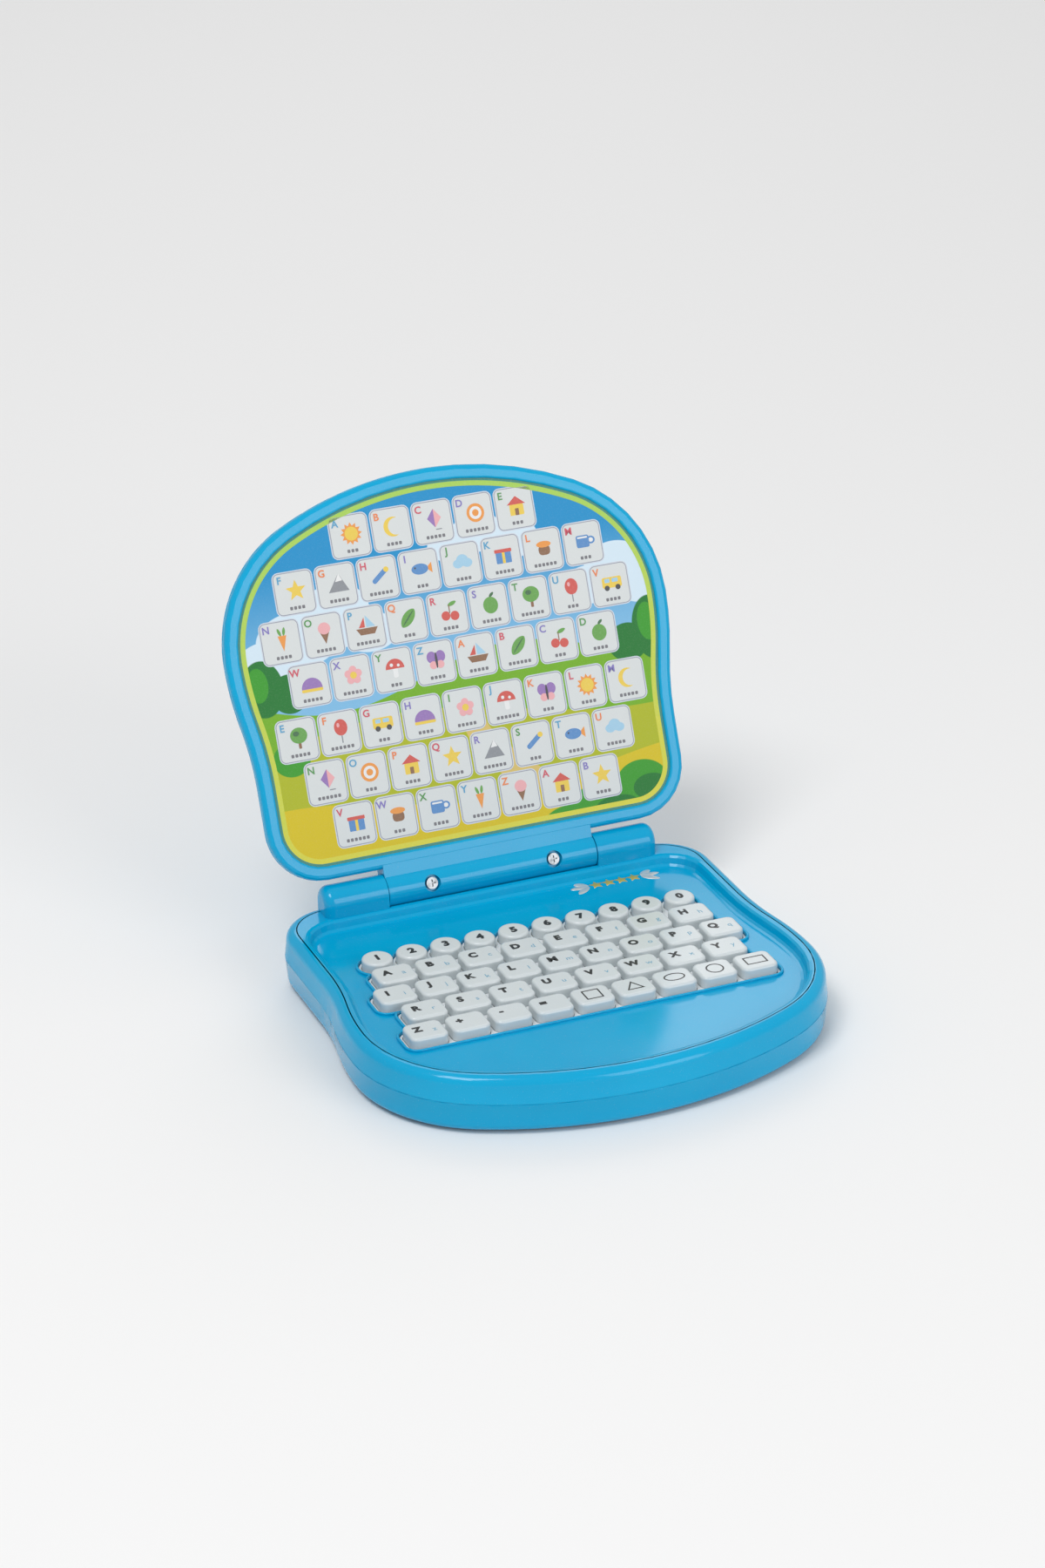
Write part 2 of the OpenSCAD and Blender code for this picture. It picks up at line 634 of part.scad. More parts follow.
module rubber_mat() placed() color([0.85, 0.86, 0.86]) {
    translate([0, 0, board_top_z]) linear_extrude(mat_t) keyboard_outline(plate_margin);
    for (key = KEYS) translate([key[2], -row_reach(key[1]), mat_top_z - 0.1]) {
        difference() {
            cylinder(r = dome_outer_r, h = dome_h + 0.1);
            translate([0, 0, -0.5]) cylinder(r = dome_outer_r - dome_wall, h = dome_h + 2);
        }
        cylinder(r = stem_r, h = mat_pad_h + 0.1);
    }
}

// --- Works ---------------------------------------------------------------------
module circuit_board() placed() color([0.15, 0.42, 0.22])
    translate([0, board_mid, board_under_z]) {
        linear_extrude(board_t) rounded_rect(board_w, board_d, 2);
        // The sealed chip, a row of small parts and a capacitor hang below.
        translate([30, 10, -chip_h]) cylinder(r = 7, h = chip_h + 0.1);
        for (i = [0:4]) translate([-60 + 9 * i, 20, -chip_h]) cube([5, 2.4, chip_h + 0.1]);
        translate([-20, -18, -capacitor_h]) cylinder(r = 3, h = capacitor_h + 0.1);
    }
chip_h = 1.8;
capacitor_h = 4.5;

module speaker() placed() color([0.2, 0.2, 0.22])
    at_speaker() translate([0, 0, floor_z]) difference() {
        union() {
            cylinder(r = speaker_d / 2, h = 2);
            translate([0, 0, 2]) cylinder(r1 = speaker_d / 2 - 2, r2 = speaker_d / 4, h = speaker_h - 5);
            translate([0, 0, speaker_h - 4]) cylinder(r = speaker_d / 4 + 1, h = 4);
        }
        translate([0, 0, -1]) cylinder(r1 = speaker_d / 2 - 2, r2 = 3, h = 4);
    }

battery_z = floor_z + battery_d / 2;
button_l = 1;
button_r = 2.7;
metal_t = 0.5;
metal_h = 11;
metal_w = battery_d - 2;
coil_r = 4.6;
function battery_y(i) = (i == 0 ? -1 : 1) * (battery_d + bay_fit) / 2;

module batteries() placed() color([0.75, 0.75, 0.3]) at_bay()
    for (i = [0, 1]) translate([0, battery_y(i), battery_z]) rotate([0, i == 0 ? 90 : -90, 0])
        translate([0, 0, bay_in_l / 2 - metal_t - button_l - battery_l]) {
            cylinder(r = battery_d / 2, h = battery_l);
            translate([0, 0, battery_l - 0.1]) cylinder(r = button_r, h = button_l + 0.1);
        }

// A contact: a sheet at the bay's end, in the plane across the cells.
module contact_sheet(side, y, w) {
    translate([side * (bay_in_l / 2 - metal_t / 2), y, battery_z]) cube([metal_t, w, metal_h], center = true);
}

module battery_contacts() placed() color(STEEL) at_bay() {
    spring_l = contact_l - 2 * metal_t;
    turns = 5;
    turn_r = spring_l / turns / 2 + 0.02;
    contact_sheet(-1, 0, bay_in_d - 1);
    for (i = [0, 1]) contact_sheet(1, battery_y(i), metal_w);
    // The springs press on the flat ends of the cells, as stacked turns.
    for (i = [0, 1]) for (t = [0:turns - 1]) {
        depth = metal_t + turn_r + t * (spring_l - 2 * turn_r) / (turns - 1);
        translate([(i == 0 ? -1 : 1) * (bay_in_l / 2 - depth), battery_y(i), battery_z]) rotate([0, 90, 0])
            rotate_extrude() translate([coil_r - 0.3 * t, 0]) circle(turn_r, $fn = 16);
    }
}

module battery_door() placed() color(SHELL_BLUE) at_bay() difference() {
    union() {
        translate([0, 0, foot_h]) linear_extrude(door_t) door_outline(-door_fit);
        translate([0, 0, foot_h]) linear_extrude(wall)
            square([bay_in_l - 2 * door_fit, bay_in_d - 2 * door_fit], center = true);
        door_screw_place() translate([0, 0, foot_h])
            cylinder(r = door_boss_r, h = door_seat_z - foot_h + 1.2);
    }
    door_screw_place() {
        cylinder(r = shank_r + shank_fit, h = seam_z);
        cylinder(r = head_r + 0.2, h = door_seat_z);
    }
}

module power_switch() placed() color([0.15, 0.15, 0.17])
    at_switch() translate([-switch_travel / 2, 0, 0]) {
        translate([0, 0, foot_h - 0.6]) linear_extrude(wall + 0.8) rounded_rect(switch_l, switch_w, 0.8);
        translate([0, 0, floor_z + 0.1]) linear_extrude(1.2)
            square([switch_l + 6, switch_w + 4], center = true);
    }

module case_screws() placed() color(STEEL) {
    for (p = case_screw_places) translate([p[0], p[1], well_z]) rotate([180, 0, 0])
        translate([0, 0, head_h]) screw(deck_under_z - well_z - case_tip_gap);
    at_bay() door_screw_place() translate([0, 0, door_seat_z]) rotate([180, 0, 0])
        translate([0, 0, head_h]) screw(door_shank_l);
}
case_tip_gap = 1.3;
door_shank_l = 6;

// A lead made of straight runs between points.
module lead(points, r) {
    for (i = [0:len(points) - 2]) {
        d = points[i + 1] - points[i];
        l = norm(d);
        translate(points[i]) rotate([0, acos(d[2] / l), atan2(d[1], d[0])]) cylinder(r = r, h = l, $fn = 24);
        if (i > 0) translate(points[i]) sphere(r, $fn = 24);
    }
}

// The leads, as straight runs from corner to corner.
wire_r = 0.6;
lead_fit = 0.1;
lead_x = bay_in_l / 2 - wire_r - lead_fit;

module wires() placed() color([0.8, 0.1, 0.1]) {
    run_z = board_under_z - 5 * wire_r;
    top_z = floor_z + speaker_h + 3 * wire_r;
    board_y = -board_front_reach + 5;
    drop_y = -board_front_reach - bay_gap / 2;
    // Two leads from the speaker's back to the board.
    for (x = [-speaker_x - 4, -speaker_x + 4])
        lead([[x, -speaker_reach, floor_z + speaker_h], [x, -speaker_reach, top_z], [x, drop_y, top_z],
            [x, drop_y, run_z], [x, board_y, run_z], [x, board_y, board_under_z]], wire_r);
    // Two leads from the battery contacts, out through the bay's slot.
    x = bay_x + lead_x;
    back_y = -bay_reach + battery_y(1) + metal_w / 2;
    low_z = battery_z + metal_h / 2 - 2;
    lead([[x, back_y, low_z], [x, drop_y, low_z], [x, drop_y, run_z], [x, board_y, run_z],
        [x, board_y, board_under_z]], wire_r);
    front_y = -bay_reach + battery_y(0);
    over_z = battery_z + metal_h / 2 + wire_r + 0.5;
    side_x = x + 6 * wire_r;
    lead([[x, front_y, battery_z + metal_h / 2], [x, front_y, over_z], [x, drop_y, over_z],
        [side_x, drop_y, over_z], [side_x, drop_y, run_z], [side_x, board_y, run_z],
        [side_x, board_y, board_under_z]], wire_r);
}

// --- Lid -----------------------------------------------------------------------
edge_steps = [for (a = [0:30:90]) a];
window_inset = frame_w;
card_inset = frame_w - card_tuck;
lid_wall = 2;
card_under_w = face_w - lip_t - card_t;
back_curve_r = min(20, near_corner_r - back_depth - 0.5);
lid_front_skin = concat(
    [[lid_outline(0), 0]],
    [for (a = edge_steps) [lid_outline(lid_edge_r * (1 - cos(a))), face_w - lid_edge_r * (1 - sin(a))]]);
// The window's edge is rounded off towards the face.
window_skin = concat(
    [[lid_outline(window_inset), -1]],
    [for (a = [0, 30, 60]) [lid_outline(window_inset - window_edge_r * (1 - cos(a))),
        face_w - window_edge_r * (1 - sin(a))]],
    [for (w = [face_w, face_w + 1]) [lid_outline(window_inset - window_edge_r), w]]);
lid_back_skin = concat(
    [for (a = [0, 30, 60, 90]) [lid_outline(back_inset(a)), -back_depth - back_dome * cos(a)]],
    [for (a = [30, 60, 90]) [lid_outline(back_depth * (1 - sin(a))), -back_depth * cos(a)]]);
// How far the open lid reaches behind the hinge axis, and the middle of the
// open laptop.
lid_back_y = max([for (section = lid_back_skin) for (p = section[0])
    p[1] * sin(lid_lean) - section[1] * cos(lid_lean)]);
middle_y = (lid_back_y - base_reach) / 2;
hinge_well_h = 2.6;
hinge_tip_gap = 3.6;
hinge_bore_floor = 1.5;
rib_fit = 0.3;

// The barrel's half-round section and the web that joins it to the lid, on
// one side of the seam: side is 1 in front of it and -1 behind it.
module barrel_half(side, depth) {
    intersection() {
        union() {
            rotate([0, 90, 0]) cylinder(r = barrel_r, h = barrel_l, center = true);
            translate([-barrel_l / 2, 0, side > 0 ? 0 : -depth]) cube([barrel_l, lid_near_reach + 2, depth]);
        }
        translate([-barrel_l, -barrel_r - 1, side > 0 ? 0 : -barrel_r - 1])
            cube([2 * barrel_l, barrel_r + lid_near_reach + 4, barrel_r + 1]);
    }
}
module shaft_bores() for (s = [-1, 1])
    translate([s * (barrel_l / 2 - shaft_l / 2), 0, 0]) rotate([0, 90, 0])
        cylinder(r = shaft_r + shaft_fit, h = shaft_l + 1, center = true);

module lid_frame() on_lid() color(SHELL_BLUE) difference() {
    union() {
        difference() {
            loft(lid_front_skin);
            loft(window_skin);
            translate([0, 0, -1]) linear_extrude(face_w - lip_t + 1) polygon(lid_outline(card_inset));
        }
        barrel_half(1, face_w);
    }
    shaft_bores();
    for (s = [-1, 1]) translate([s * hinge_screw_x, 0, 0]) {
        translate([0, 0, -1]) cylinder(r = shank_r + shank_fit, h = barrel_r + 2);
        translate([0, 0, barrel_r - hinge_well_h]) cylinder(r = hinge_well_r, h = hinge_well_h + 1);
    }
}

// How far in from the outline the domed back has risen to an angle of its curve.
function back_inset(a) = back_depth + back_curve_r * (1 - sin(a));

// Ribs across the back shell, between its floor and the card.
module back_ribs(floor_w, inset) {
    intersection() {
        translate([0, 0, floor_w]) linear_extrude(card_under_w - floor_w) polygon(lid_outline(inset));
        union() {
            for (i = [-1.5:1:1.5]) translate([i * rib_pitch - rib_t / 2, 0, floor_w])
                cube([rib_t, lid_reach, card_under_w - floor_w]);
            for (i = [1:3]) translate([-lid_bulge, lid_near_reach + i * rib_pitch - rib_t / 2, floor_w])
                cube([2 * lid_bulge, rib_t, card_under_w - floor_w]);
        }
    }
}

module lid_back() on_lid() color(SHELL_BLUE) difference() {
    union() {
        difference() {
            loft(lid_back_skin);
            translate([0, 0, -back_depth + lid_wall / 2]) linear_extrude(back_depth)
                polygon(lid_outline(card_inset + lid_wall));
            // The floor steps down under the dome, so that the wall stays thin.
            for (a = [30, 60]) translate([0, 0, -back_depth - back_dome * cos(a) + lid_wall])
                linear_extrude(back_depth + back_dome) polygon(lid_outline(back_inset(a) + lid_wall));
        }
        // A standing wall and ribs hold the card against the frame.
        difference() {
            translate([0, 0, -back_depth]) linear_extrude(card_under_w + back_depth)
                polygon(lid_outline(card_inset + rib_fit));
            translate([0, 0, -back_depth - 1]) linear_extrude(card_under_w + back_depth + 2)
                polygon(lid_outline(card_inset + lid_wall));
        }
        back_ribs(-back_depth, card_inset + rib_fit);
        back_ribs(-back_depth - back_dome + lid_wall / 2, back_inset(30));
        barrel_half(-1, back_depth);
    }
    shaft_bores();
    for (s = [-1, 1]) translate([s * hinge_screw_x, 0, hinge_bore_floor - barrel_r])
        cylinder(r = shank_r, h = 2 * barrel_r);
}

module picture_card() on_lid() color([0.55, 0.78, 0.35])
    translate([0, 0, card_under_w]) linear_extrude(card_t) polygon(lid_outline(card_inset + rib_fit));

module hinge_screws() on_lid() color(STEEL)
    for (s = [-1, 1]) translate([s * hinge_screw_x, 0, barrel_r - hinge_well_h + head_h])
        screw(2 * barrel_r - hinge_well_h - hinge_tip_gap);

// --- Which node is drawn ---------------------------------------------------------
base_bottom();
base_top();
key_plate();
rubber_mat();
circuit_board();
speaker();
batteries();
battery_contacts();
battery_door();
power_switch();
case_screws();
wires();
lid_frame();
lid_back();
picture_card();
hinge_screws();
for (key = KEYS) key(key[1], key[2]);
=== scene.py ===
"""Looks of a toy laptop computer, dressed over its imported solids.

The classes hold their sizes in millimetres in the part's frame: x to the user's right, y away from
the user, z up from the table. Meshes are turned to metres when they are made.
"""

import functools
import json
import logging
import math
import operator
import string
from dataclasses import dataclass, field
from enum import Enum
from typing import Callable, Sequence, Union

import bpy
import numpy as np
from mathutils import Matrix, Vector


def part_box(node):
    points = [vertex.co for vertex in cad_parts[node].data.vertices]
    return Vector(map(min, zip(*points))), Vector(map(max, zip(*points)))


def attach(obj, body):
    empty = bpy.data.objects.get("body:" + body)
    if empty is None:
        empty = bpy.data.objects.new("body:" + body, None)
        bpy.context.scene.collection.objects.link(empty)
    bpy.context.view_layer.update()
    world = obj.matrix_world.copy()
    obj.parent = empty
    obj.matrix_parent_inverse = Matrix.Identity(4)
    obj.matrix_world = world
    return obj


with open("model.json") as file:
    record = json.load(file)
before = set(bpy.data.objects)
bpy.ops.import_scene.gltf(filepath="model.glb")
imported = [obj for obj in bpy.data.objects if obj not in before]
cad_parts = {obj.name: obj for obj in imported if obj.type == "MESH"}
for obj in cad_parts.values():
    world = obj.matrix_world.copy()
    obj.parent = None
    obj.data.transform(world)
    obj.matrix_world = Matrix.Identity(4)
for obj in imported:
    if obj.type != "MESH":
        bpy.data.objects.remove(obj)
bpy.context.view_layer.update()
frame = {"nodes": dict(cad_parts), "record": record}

LOG = logging.getLogger("toy_laptop")
MM = 0.001
Colour = tuple[float, float, float]
Array = np.ndarray
# The ink of faces whose finish reads none.
UNPRINTED: Colour = (0.5, 0.5, 0.5)
JOINTS = {joint["name"]: joint for joint in frame["record"]["behaviour"]["joints"]}
HINGE = tuple(place / MM for place in JOINTS["lid_hinge"]["pos_m"])


def srgb(red: int, green: int, blue: int) -> Colour:
    """Turns a colour on a screen's scale of 0 to 255 into linear light.

    Each channel c becomes c / 12.92 below 0.04045, and ((c + 0.055) / 1.055) ** 2.4 above.

    Args:
        red: Red, 0 to 255.
        green: Green, 0 to 255.
        blue: Blue, 0 to 255.

    Returns:
        The three linear channels.
    """
    c = np.array([red, green, blue]) / 255.0
    low, high = c / 12.92, ((c + 0.055) / 1.055) ** 2.4
    return tuple(float(v) for v in np.where(c <= 0.04045, low, high))


class Body(Enum):
    """The moving bodies that pieces ride on; each key is a body of its own name."""

    BASE = "base"
    LID = "lid"


class Slot(Enum):
    """The record's material slots, one named for each new piece."""

    SHELL = "shell_blue"
    KEY = "key_white"
    CARD = "card_print"


# --- Shader arithmetic ---------------------------------------------------------------------


class Sock:
    """An output socket that takes part in Python arithmetic, one Math node an operation."""

    def __init__(self, shader: "Shader", socket: bpy.types.NodeSocket) -> None:
        """Wraps a socket.

        Args:
            shader: The material's builder.
            socket: The output socket.
        """
        self.shader = shader
        self.socket = socket

    def __add__(self, other: "Value") -> "Sock":
        """The sum."""
        return self.shader.math("ADD", self, other)

    def __radd__(self, other: "Value") -> "Sock":
        """The sum, from the right."""
        return self.shader.math("ADD", other, self)

    def __sub__(self, other: "Value") -> "Sock":
        """The difference."""
        return self.shader.math("SUBTRACT", self, other)

    def __rsub__(self, other: "Value") -> "Sock":
        """The difference, from the right, so that 1 - mask works."""
        return self.shader.math("SUBTRACT", other, self)

    def __mul__(self, other: "Value") -> "Sock":
        """The product."""
        return self.shader.math("MULTIPLY", self, other)

    def __rmul__(self, other: "Value") -> "Sock":
        """The product, from the right."""
        return self.shader.math("MULTIPLY", other, self)

    def __truediv__(self, other: "Value") -> "Sock":
        """The quotient."""
        return self.shader.math("DIVIDE", self, other)

    def __rtruediv__(self, other: "Value") -> "Sock":
        """The quotient, from the right."""
        return self.shader.math("DIVIDE", other, self)

    def __neg__(self) -> "Sock":
        """The negative."""
        return self.shader.math("MULTIPLY", self, -1.0)

    def __or__(self, other: "Value") -> "Sock":
        """The greater of two masks: what lies in either."""
        return self.shader.math("MAXIMUM", self, other)

    def __ror__(self, other: "Value") -> "Sock":
        """The greater of two masks, from the right."""
        return self.shader.math("MAXIMUM", other, self)

    def __and__(self, other: "Value") -> "Sock":
        """The smaller of two masks: what lies in both."""
        return self.shader.math("MINIMUM", self, other)

    def __rand__(self, other: "Value") -> "Sock":
        """The smaller of two masks, from the right."""
        return self.shader.math("MINIMUM", other, self)

    def __abs__(self) -> "Sock":
        """The distance from 0."""
        return self.shader.math("ABSOLUTE", self)

    def sin(self) -> "Sock":
        """The sine of an angle in radians."""
        return self.shader.math("SINE", self)

    def clamp(self) -> "Sock":
        """The value held between 0 and 1."""
        return self.shader.math("ADD", self, 0.0, settings={"use_clamp": True})


Value = Union[Sock, float, int]


class Shader:
    """Builds one material: a Principled shader and the nodes that vary it over the surface."""

    def __init__(self, name: str) -> None:
        """Makes an empty node material with a Principled shader.

        Args:
            name: The material's name.
        """
        self.material = bpy.data.materials.new(name)
        self.material.use_nodes = True
        self.tree = self.material.node_tree
        self.tree.nodes.clear()
        self.surface = self.node("ShaderNodeBsdfPrincipled")
        self.node("ShaderNodeOutputMaterial", inputs={"Surface": Sock(self, self.surface.outputs[0])})

    def node(
        self,
        kind: str,
        settings: dict[str, object] | None = None,
        inputs: dict[str | int, object] | None = None,
    ) -> bpy.types.Node:
        """Adds any node.

        Args:
            kind: The node's type.
            settings: Its own settings, such as an operation, which are set first.
            inputs: Values or sockets for its inputs, by name or number.

        Returns:
            The node.
        """
        made = self.tree.nodes.new(kind)
        for key, value in (settings or {}).items():
            setattr(made, key, value)
        for key, value in (inputs or {}).items():
            self.feed(made.inputs[key], value)
        return made

    def feed(self, target: bpy.types.NodeSocket, value: object) -> None:
        """Links a wrapped socket to an input, or sets the input's own value.

        Args:
            target: The input.
            value: A wrapped socket, a number, or a colour or vector.
        """
        if isinstance(value, Sock):
            self.tree.links.new(value.socket, target)
        elif isinstance(value, tuple) and len(value) == 3 and len(target.default_value) == 4:
            target.default_value = (*value, 1.0)
        else:
            target.default_value = value

    def math(self, operation: str, *values: Value, settings: dict[str, object] | None = None) -> Sock:
        """Adds one Math node.

        Args:
            operation: The node's operation.
            values: Its inputs, in order.
            settings: Further settings of the node.

        Returns:
            The result.
        """
        inputs = {i: v for i, v in enumerate(values)}
        made = self.node("ShaderNodeMath", {"operation": operation, **(settings or {})}, inputs)
        return Sock(self, made.outputs[0])

    def mix(self, factor: Value, low: object, high: object) -> Sock:
        """Mixes two colours.

        Args:
            factor: 0 gives low and 1 gives high.
            low: A colour or a colour socket.
            high: A colour or a colour socket.

        Returns:
            The mixed colour.
        """
        made = self.node("ShaderNodeMix", {"data_type": "RGBA"}, {0: factor, 6: low, 7: high})
        return Sock(self, made.outputs[2])

    def place(self) -> Sock:
        """The point on the object, in metres in the part's frame."""
        return Sock(self, self.node("ShaderNodeTexCoord").outputs["Object"])

    def split(self, point: Sock) -> tuple[Sock, Sock]:
        """The first two coordinates of a point."""
        parts = self.node("ShaderNodeSeparateXYZ", inputs={0: point})
        return Sock(self, parts.outputs[0]), Sock(self, parts.outputs[1])

    def noise(self, size_mm: float, detail: float = 3.0, roughness: float = 0.5) -> Sock:
        """Soft random values from 0 to 1.

        Args:
            size_mm: The rough size of one blotch.
            detail: How many finer layers are added.
            roughness: How strong the finer layers are.

        Returns:
            The noise's factor.
        """
        inputs = {
            "Vector": self.place(),
            "Scale": 1.0 / (size_mm * MM),
            "Detail": detail,
            "Roughness": roughness,
        }
        return Sock(self, self.node("ShaderNodeTexNoise", inputs=inputs).outputs[0])

    def blotches(self, size_mm: float, detail: float, level: float, gain: float) -> Sock:
        """Patches where a noise rises above a level, times a gain, held between 0 and 1."""
        return ((self.noise(size_mm, detail) - level) * gain).clamp()

    def bump(self, height: Sock, depth_mm: float, strength: float = 1.0) -> Sock:
        """Turns a height from 0 to 1 into a normal.

        Args:
            height: The height.
            depth_mm: What a height of 1 stands for.
            strength: How much of it is used.

        Returns:
            The normal.
        """
        inputs = {"Height": height, "Distance": depth_mm * MM, "Strength": strength}
        return Sock(self, self.node("ShaderNodeBump", inputs=inputs).outputs[0])

    def done(self, inputs: dict[str, object]) -> bpy.types.Material:
        """Feeds the Principled shader and returns the material.

        Args:
            inputs: Values or sockets for the shader's inputs, by name.

        Returns:
            The finished material.
        """
        for key, value in inputs.items():
            self.feed(self.surface.inputs[key], value)
        return self.material


# --- Finishes ------------------------------------------------------------------------------


@dataclass(frozen=True)
class MouldedPlastic:
    """Injection-moulded plastic: an even dye, a faint skin, and a film of handling."""

    name: str
    dye: Colour
    shade: Colour
    roughness: float = 0.22
    film: float = 0.10
    gloss: float = 0.5
    skin_mm: float = 1.4
    skin_depth_mm: float = 0.004
    cloud_mm: float = 38.0
    film_mm: float = 11.0
    speck_mm: float = 0.7
    speck_ink: Colour = (0.55, 0.55, 0.53)

    def material(self) -> bpy.types.Material:
        """Mixes dye and shade by broad noise; the film's noise roughens it in patches.

        Returns:
            The material.
        """
        shader = Shader(self.name)
        cloudy = shader.noise(self.cloud_mm, 2.0)
        film = shader.noise(self.film_mm, 4.0, 0.6)
        speck = shader.blotches(self.speck_mm, 1.0, level=0.66, gain=9.0)
        colour = shader.mix((cloudy - 0.3) * 1.1, self.shade, self.dye)
        colour = shader.mix(speck * 0.05, colour, self.speck_ink)
        height = shader.noise(self.skin_mm, 2.0) + speck * 0.3
        return shader.done(
            {
                "Base Color": colour,
                "Roughness": self.roughness + (film - 0.45) * self.film + speck * 0.1,
                "Normal": shader.bump(height, self.skin_depth_mm),
                "Specular IOR Level": self.gloss,
            }
        )


@dataclass(frozen=True)
class TurnedSteel:
    """Plated steel: fine turning marks and dull patches."""

    name: str
    colour: Colour
    roughness: float = 0.28
    tarnish_mm: float = 2.4
    tarnish_share: float = 0.62
    marks_mm: float = 0.25
    marks_depth_mm: float = 0.01

    def material(self) -> bpy.types.Material:
        """Tarnish by broad noise and marks by very fine noise on a metal surface.

        Returns:
            The material.
        """
        shader = Shader(self.name)
        tarnish = shader.blotches(self.tarnish_mm, 3.0, level=0.45, gain=2.5)
        marks = shader.noise(self.marks_mm, 2.0)
        dull = tuple(self.tarnish_share * c for c in self.colour)
        return shader.done(
            {
                "Base Color": shader.mix(tarnish, self.colour, dull),
                "Metallic": 1.0,
                "Roughness": self.roughness + tarnish * 0.18,
                "Normal": shader.bump(marks, self.marks_depth_mm),
            }
        )


@dataclass(frozen=True)
class MattRubber:
    """Silicone or insulation: soft sheen and a fine grain."""

    name: str
    colour: Colour
    roughness: float = 0.62
    dust_mm: float = 6.0
    dust_ink: Colour = (0.7, 0.69, 0.66)
    grain_mm: float = 0.35
    grain_depth_mm: float = 0.01

    def material(self) -> bpy.types.Material:
        """A fine grain on an even colour that dust lightens a little.

        Returns:
            The material.
        """
        shader = Shader(self.name)
        dust = shader.blotches(self.dust_mm, 4.0, level=0.5, gain=3.0)
        return shader.done(
            {
                "Base Color": shader.mix(dust * 0.18, self.colour, self.dust_ink),
                "Roughness": self.roughness + dust * 0.2,
                "Normal": shader.bump(shader.noise(self.grain_mm, 2.0), self.grain_depth_mm),
            }
        )


@dataclass(frozen=True)
class LacqueredBoard:
    """A circuit board: green lacquer over a grid of tracks."""

    name: str
    lacquer: Colour = srgb(22, 92, 52)
    track: Colour = srgb(58, 138, 70)
    pitch_mm: float = 2.54
    wander_mm: float = 24.0
    track_depth_mm: float = 0.03

    def material(self) -> bpy.types.Material:
        """Tracks are where the sine of x times the sine of a wandering y crosses a level.

        Returns:
            The material.
        """
        shader = Shader(self.name)
        x, y = shader.split(shader.place())
        turn = math.tau / (self.pitch_mm * MM)
        wander = shader.noise(self.wander_mm, 1.0) * 9.0
        weave = (x * turn + wander).sin() * (y * turn * 0.5 + wander).sin()
        tracks = ((weave - 0.15) * 12.0).clamp()
        return shader.done(
            {
                "Base Color": shader.mix(tracks, self.lacquer, self.track),
                "Roughness": 0.35 + (1.0 - tracks) * 0.1,
                "Normal": shader.bump(tracks, self.track_depth_mm),
            }
        )


@dataclass(frozen=True)
class CellSleeve:
    """The printed sleeve of a dry cell: a dark band and a copper-coloured one."""

    name: str
    dark: Colour = srgb(32, 34, 38)
    copper: Colour = srgb(188, 120, 58)
    middle_mm: float = 6.0
    band_mm: float = 12.0
    scuff_mm: float = 3.0

    def material(self) -> bpy.types.Material:
        """The distance of x from the bay's middle chooses the band.

        Returns:
            The material.
        """
        shader = Shader(self.name)
        x, _ = shader.split(shader.place())
        copper = ((abs(x / MM - self.middle_mm) - self.band_mm) * 4.0).clamp()
        return shader.done(
            {
                "Base Color": shader.mix(copper, self.dark, self.copper),
                "Metallic": copper * 0.8,
                "Roughness": 0.3 + shader.noise(self.scuff_mm) * 0.12,
            }
        )


@dataclass(frozen=True)
class PrintedInk:
    """Ink whose colour is stored on the faces, with a screen-printed edge and sheen."""

    name: str
    roughness: float = 0.38
    metallic: float = 0.0
    thin_mm: float = 0.9
    thin_ink: Colour = (0.8, 0.8, 0.8)
    grain_mm: float = 0.5
    grain_depth_mm: float = 0.004

    def material(self) -> bpy.types.Material:
        """Reads the ink's colour from the mesh and thins it a little by noise.

        Returns:
            The material.
        """
        shader = Shader(self.name)
        stored = shader.node("ShaderNodeAttribute", {"attribute_name": "ink"})
        ink = Sock(shader, stored.outputs["Color"])
        thin = shader.blotches(self.thin_mm, 3.0, level=0.5, gain=2.0)
        return shader.done(
            {
                "Base Color": shader.mix(thin * 0.12, ink, self.thin_ink),
                "Roughness": self.roughness + thin * 0.1,
                "Metallic": self.metallic,
                "Normal": shader.bump(shader.noise(self.grain_mm, 2.0), self.grain_depth_mm),
            }
        )


# An ellipse on the lid's plane: the x and v of its middle, and its two half-axes.
Blob = tuple[float, float, float, float]


@dataclass(frozen=True)
class RollingLine:
    """A skyline: level plus swing times sin(x * tau / length + shift)."""

    level: float
    swing: float
    length: float
    shift: float


@dataclass(frozen=True)
class PlaneMasks:
    """Masks over the lid's plane, worked out from its coordinates x and v in millimetres."""

    x: Sock
    v: Sock
    blob_edge: float = 1.6
    line_edge: float = 3.0

    def blob(self, place: Blob) -> Sock:
        """The mask of an ellipse: it is where 1 - a*a - b*b is above 0.

        Args:
            place: The ellipse.

        Returns:
            The mask.
        """
        cx, cv, rx, rv = place
        a, b = (self.x - cx) / rx, (self.v - cv) / rv
        return ((1.0 - a * a - b * b) * (min(rx, rv) * self.blob_edge)).clamp()

    def clump(self, blobs: Sequence[Blob]) -> Sock:
        """The union of several ellipses."""
        return functools.reduce(operator.or_, [self.blob(place) for place in blobs])

    def under(self, line: RollingLine) -> Sock:
        """The mask below a rolling line."""
        height = (self.x * (math.tau / line.length) + line.shift).sin() * line.swing + line.level
        return ((height - self.v) * self.line_edge).clamp()


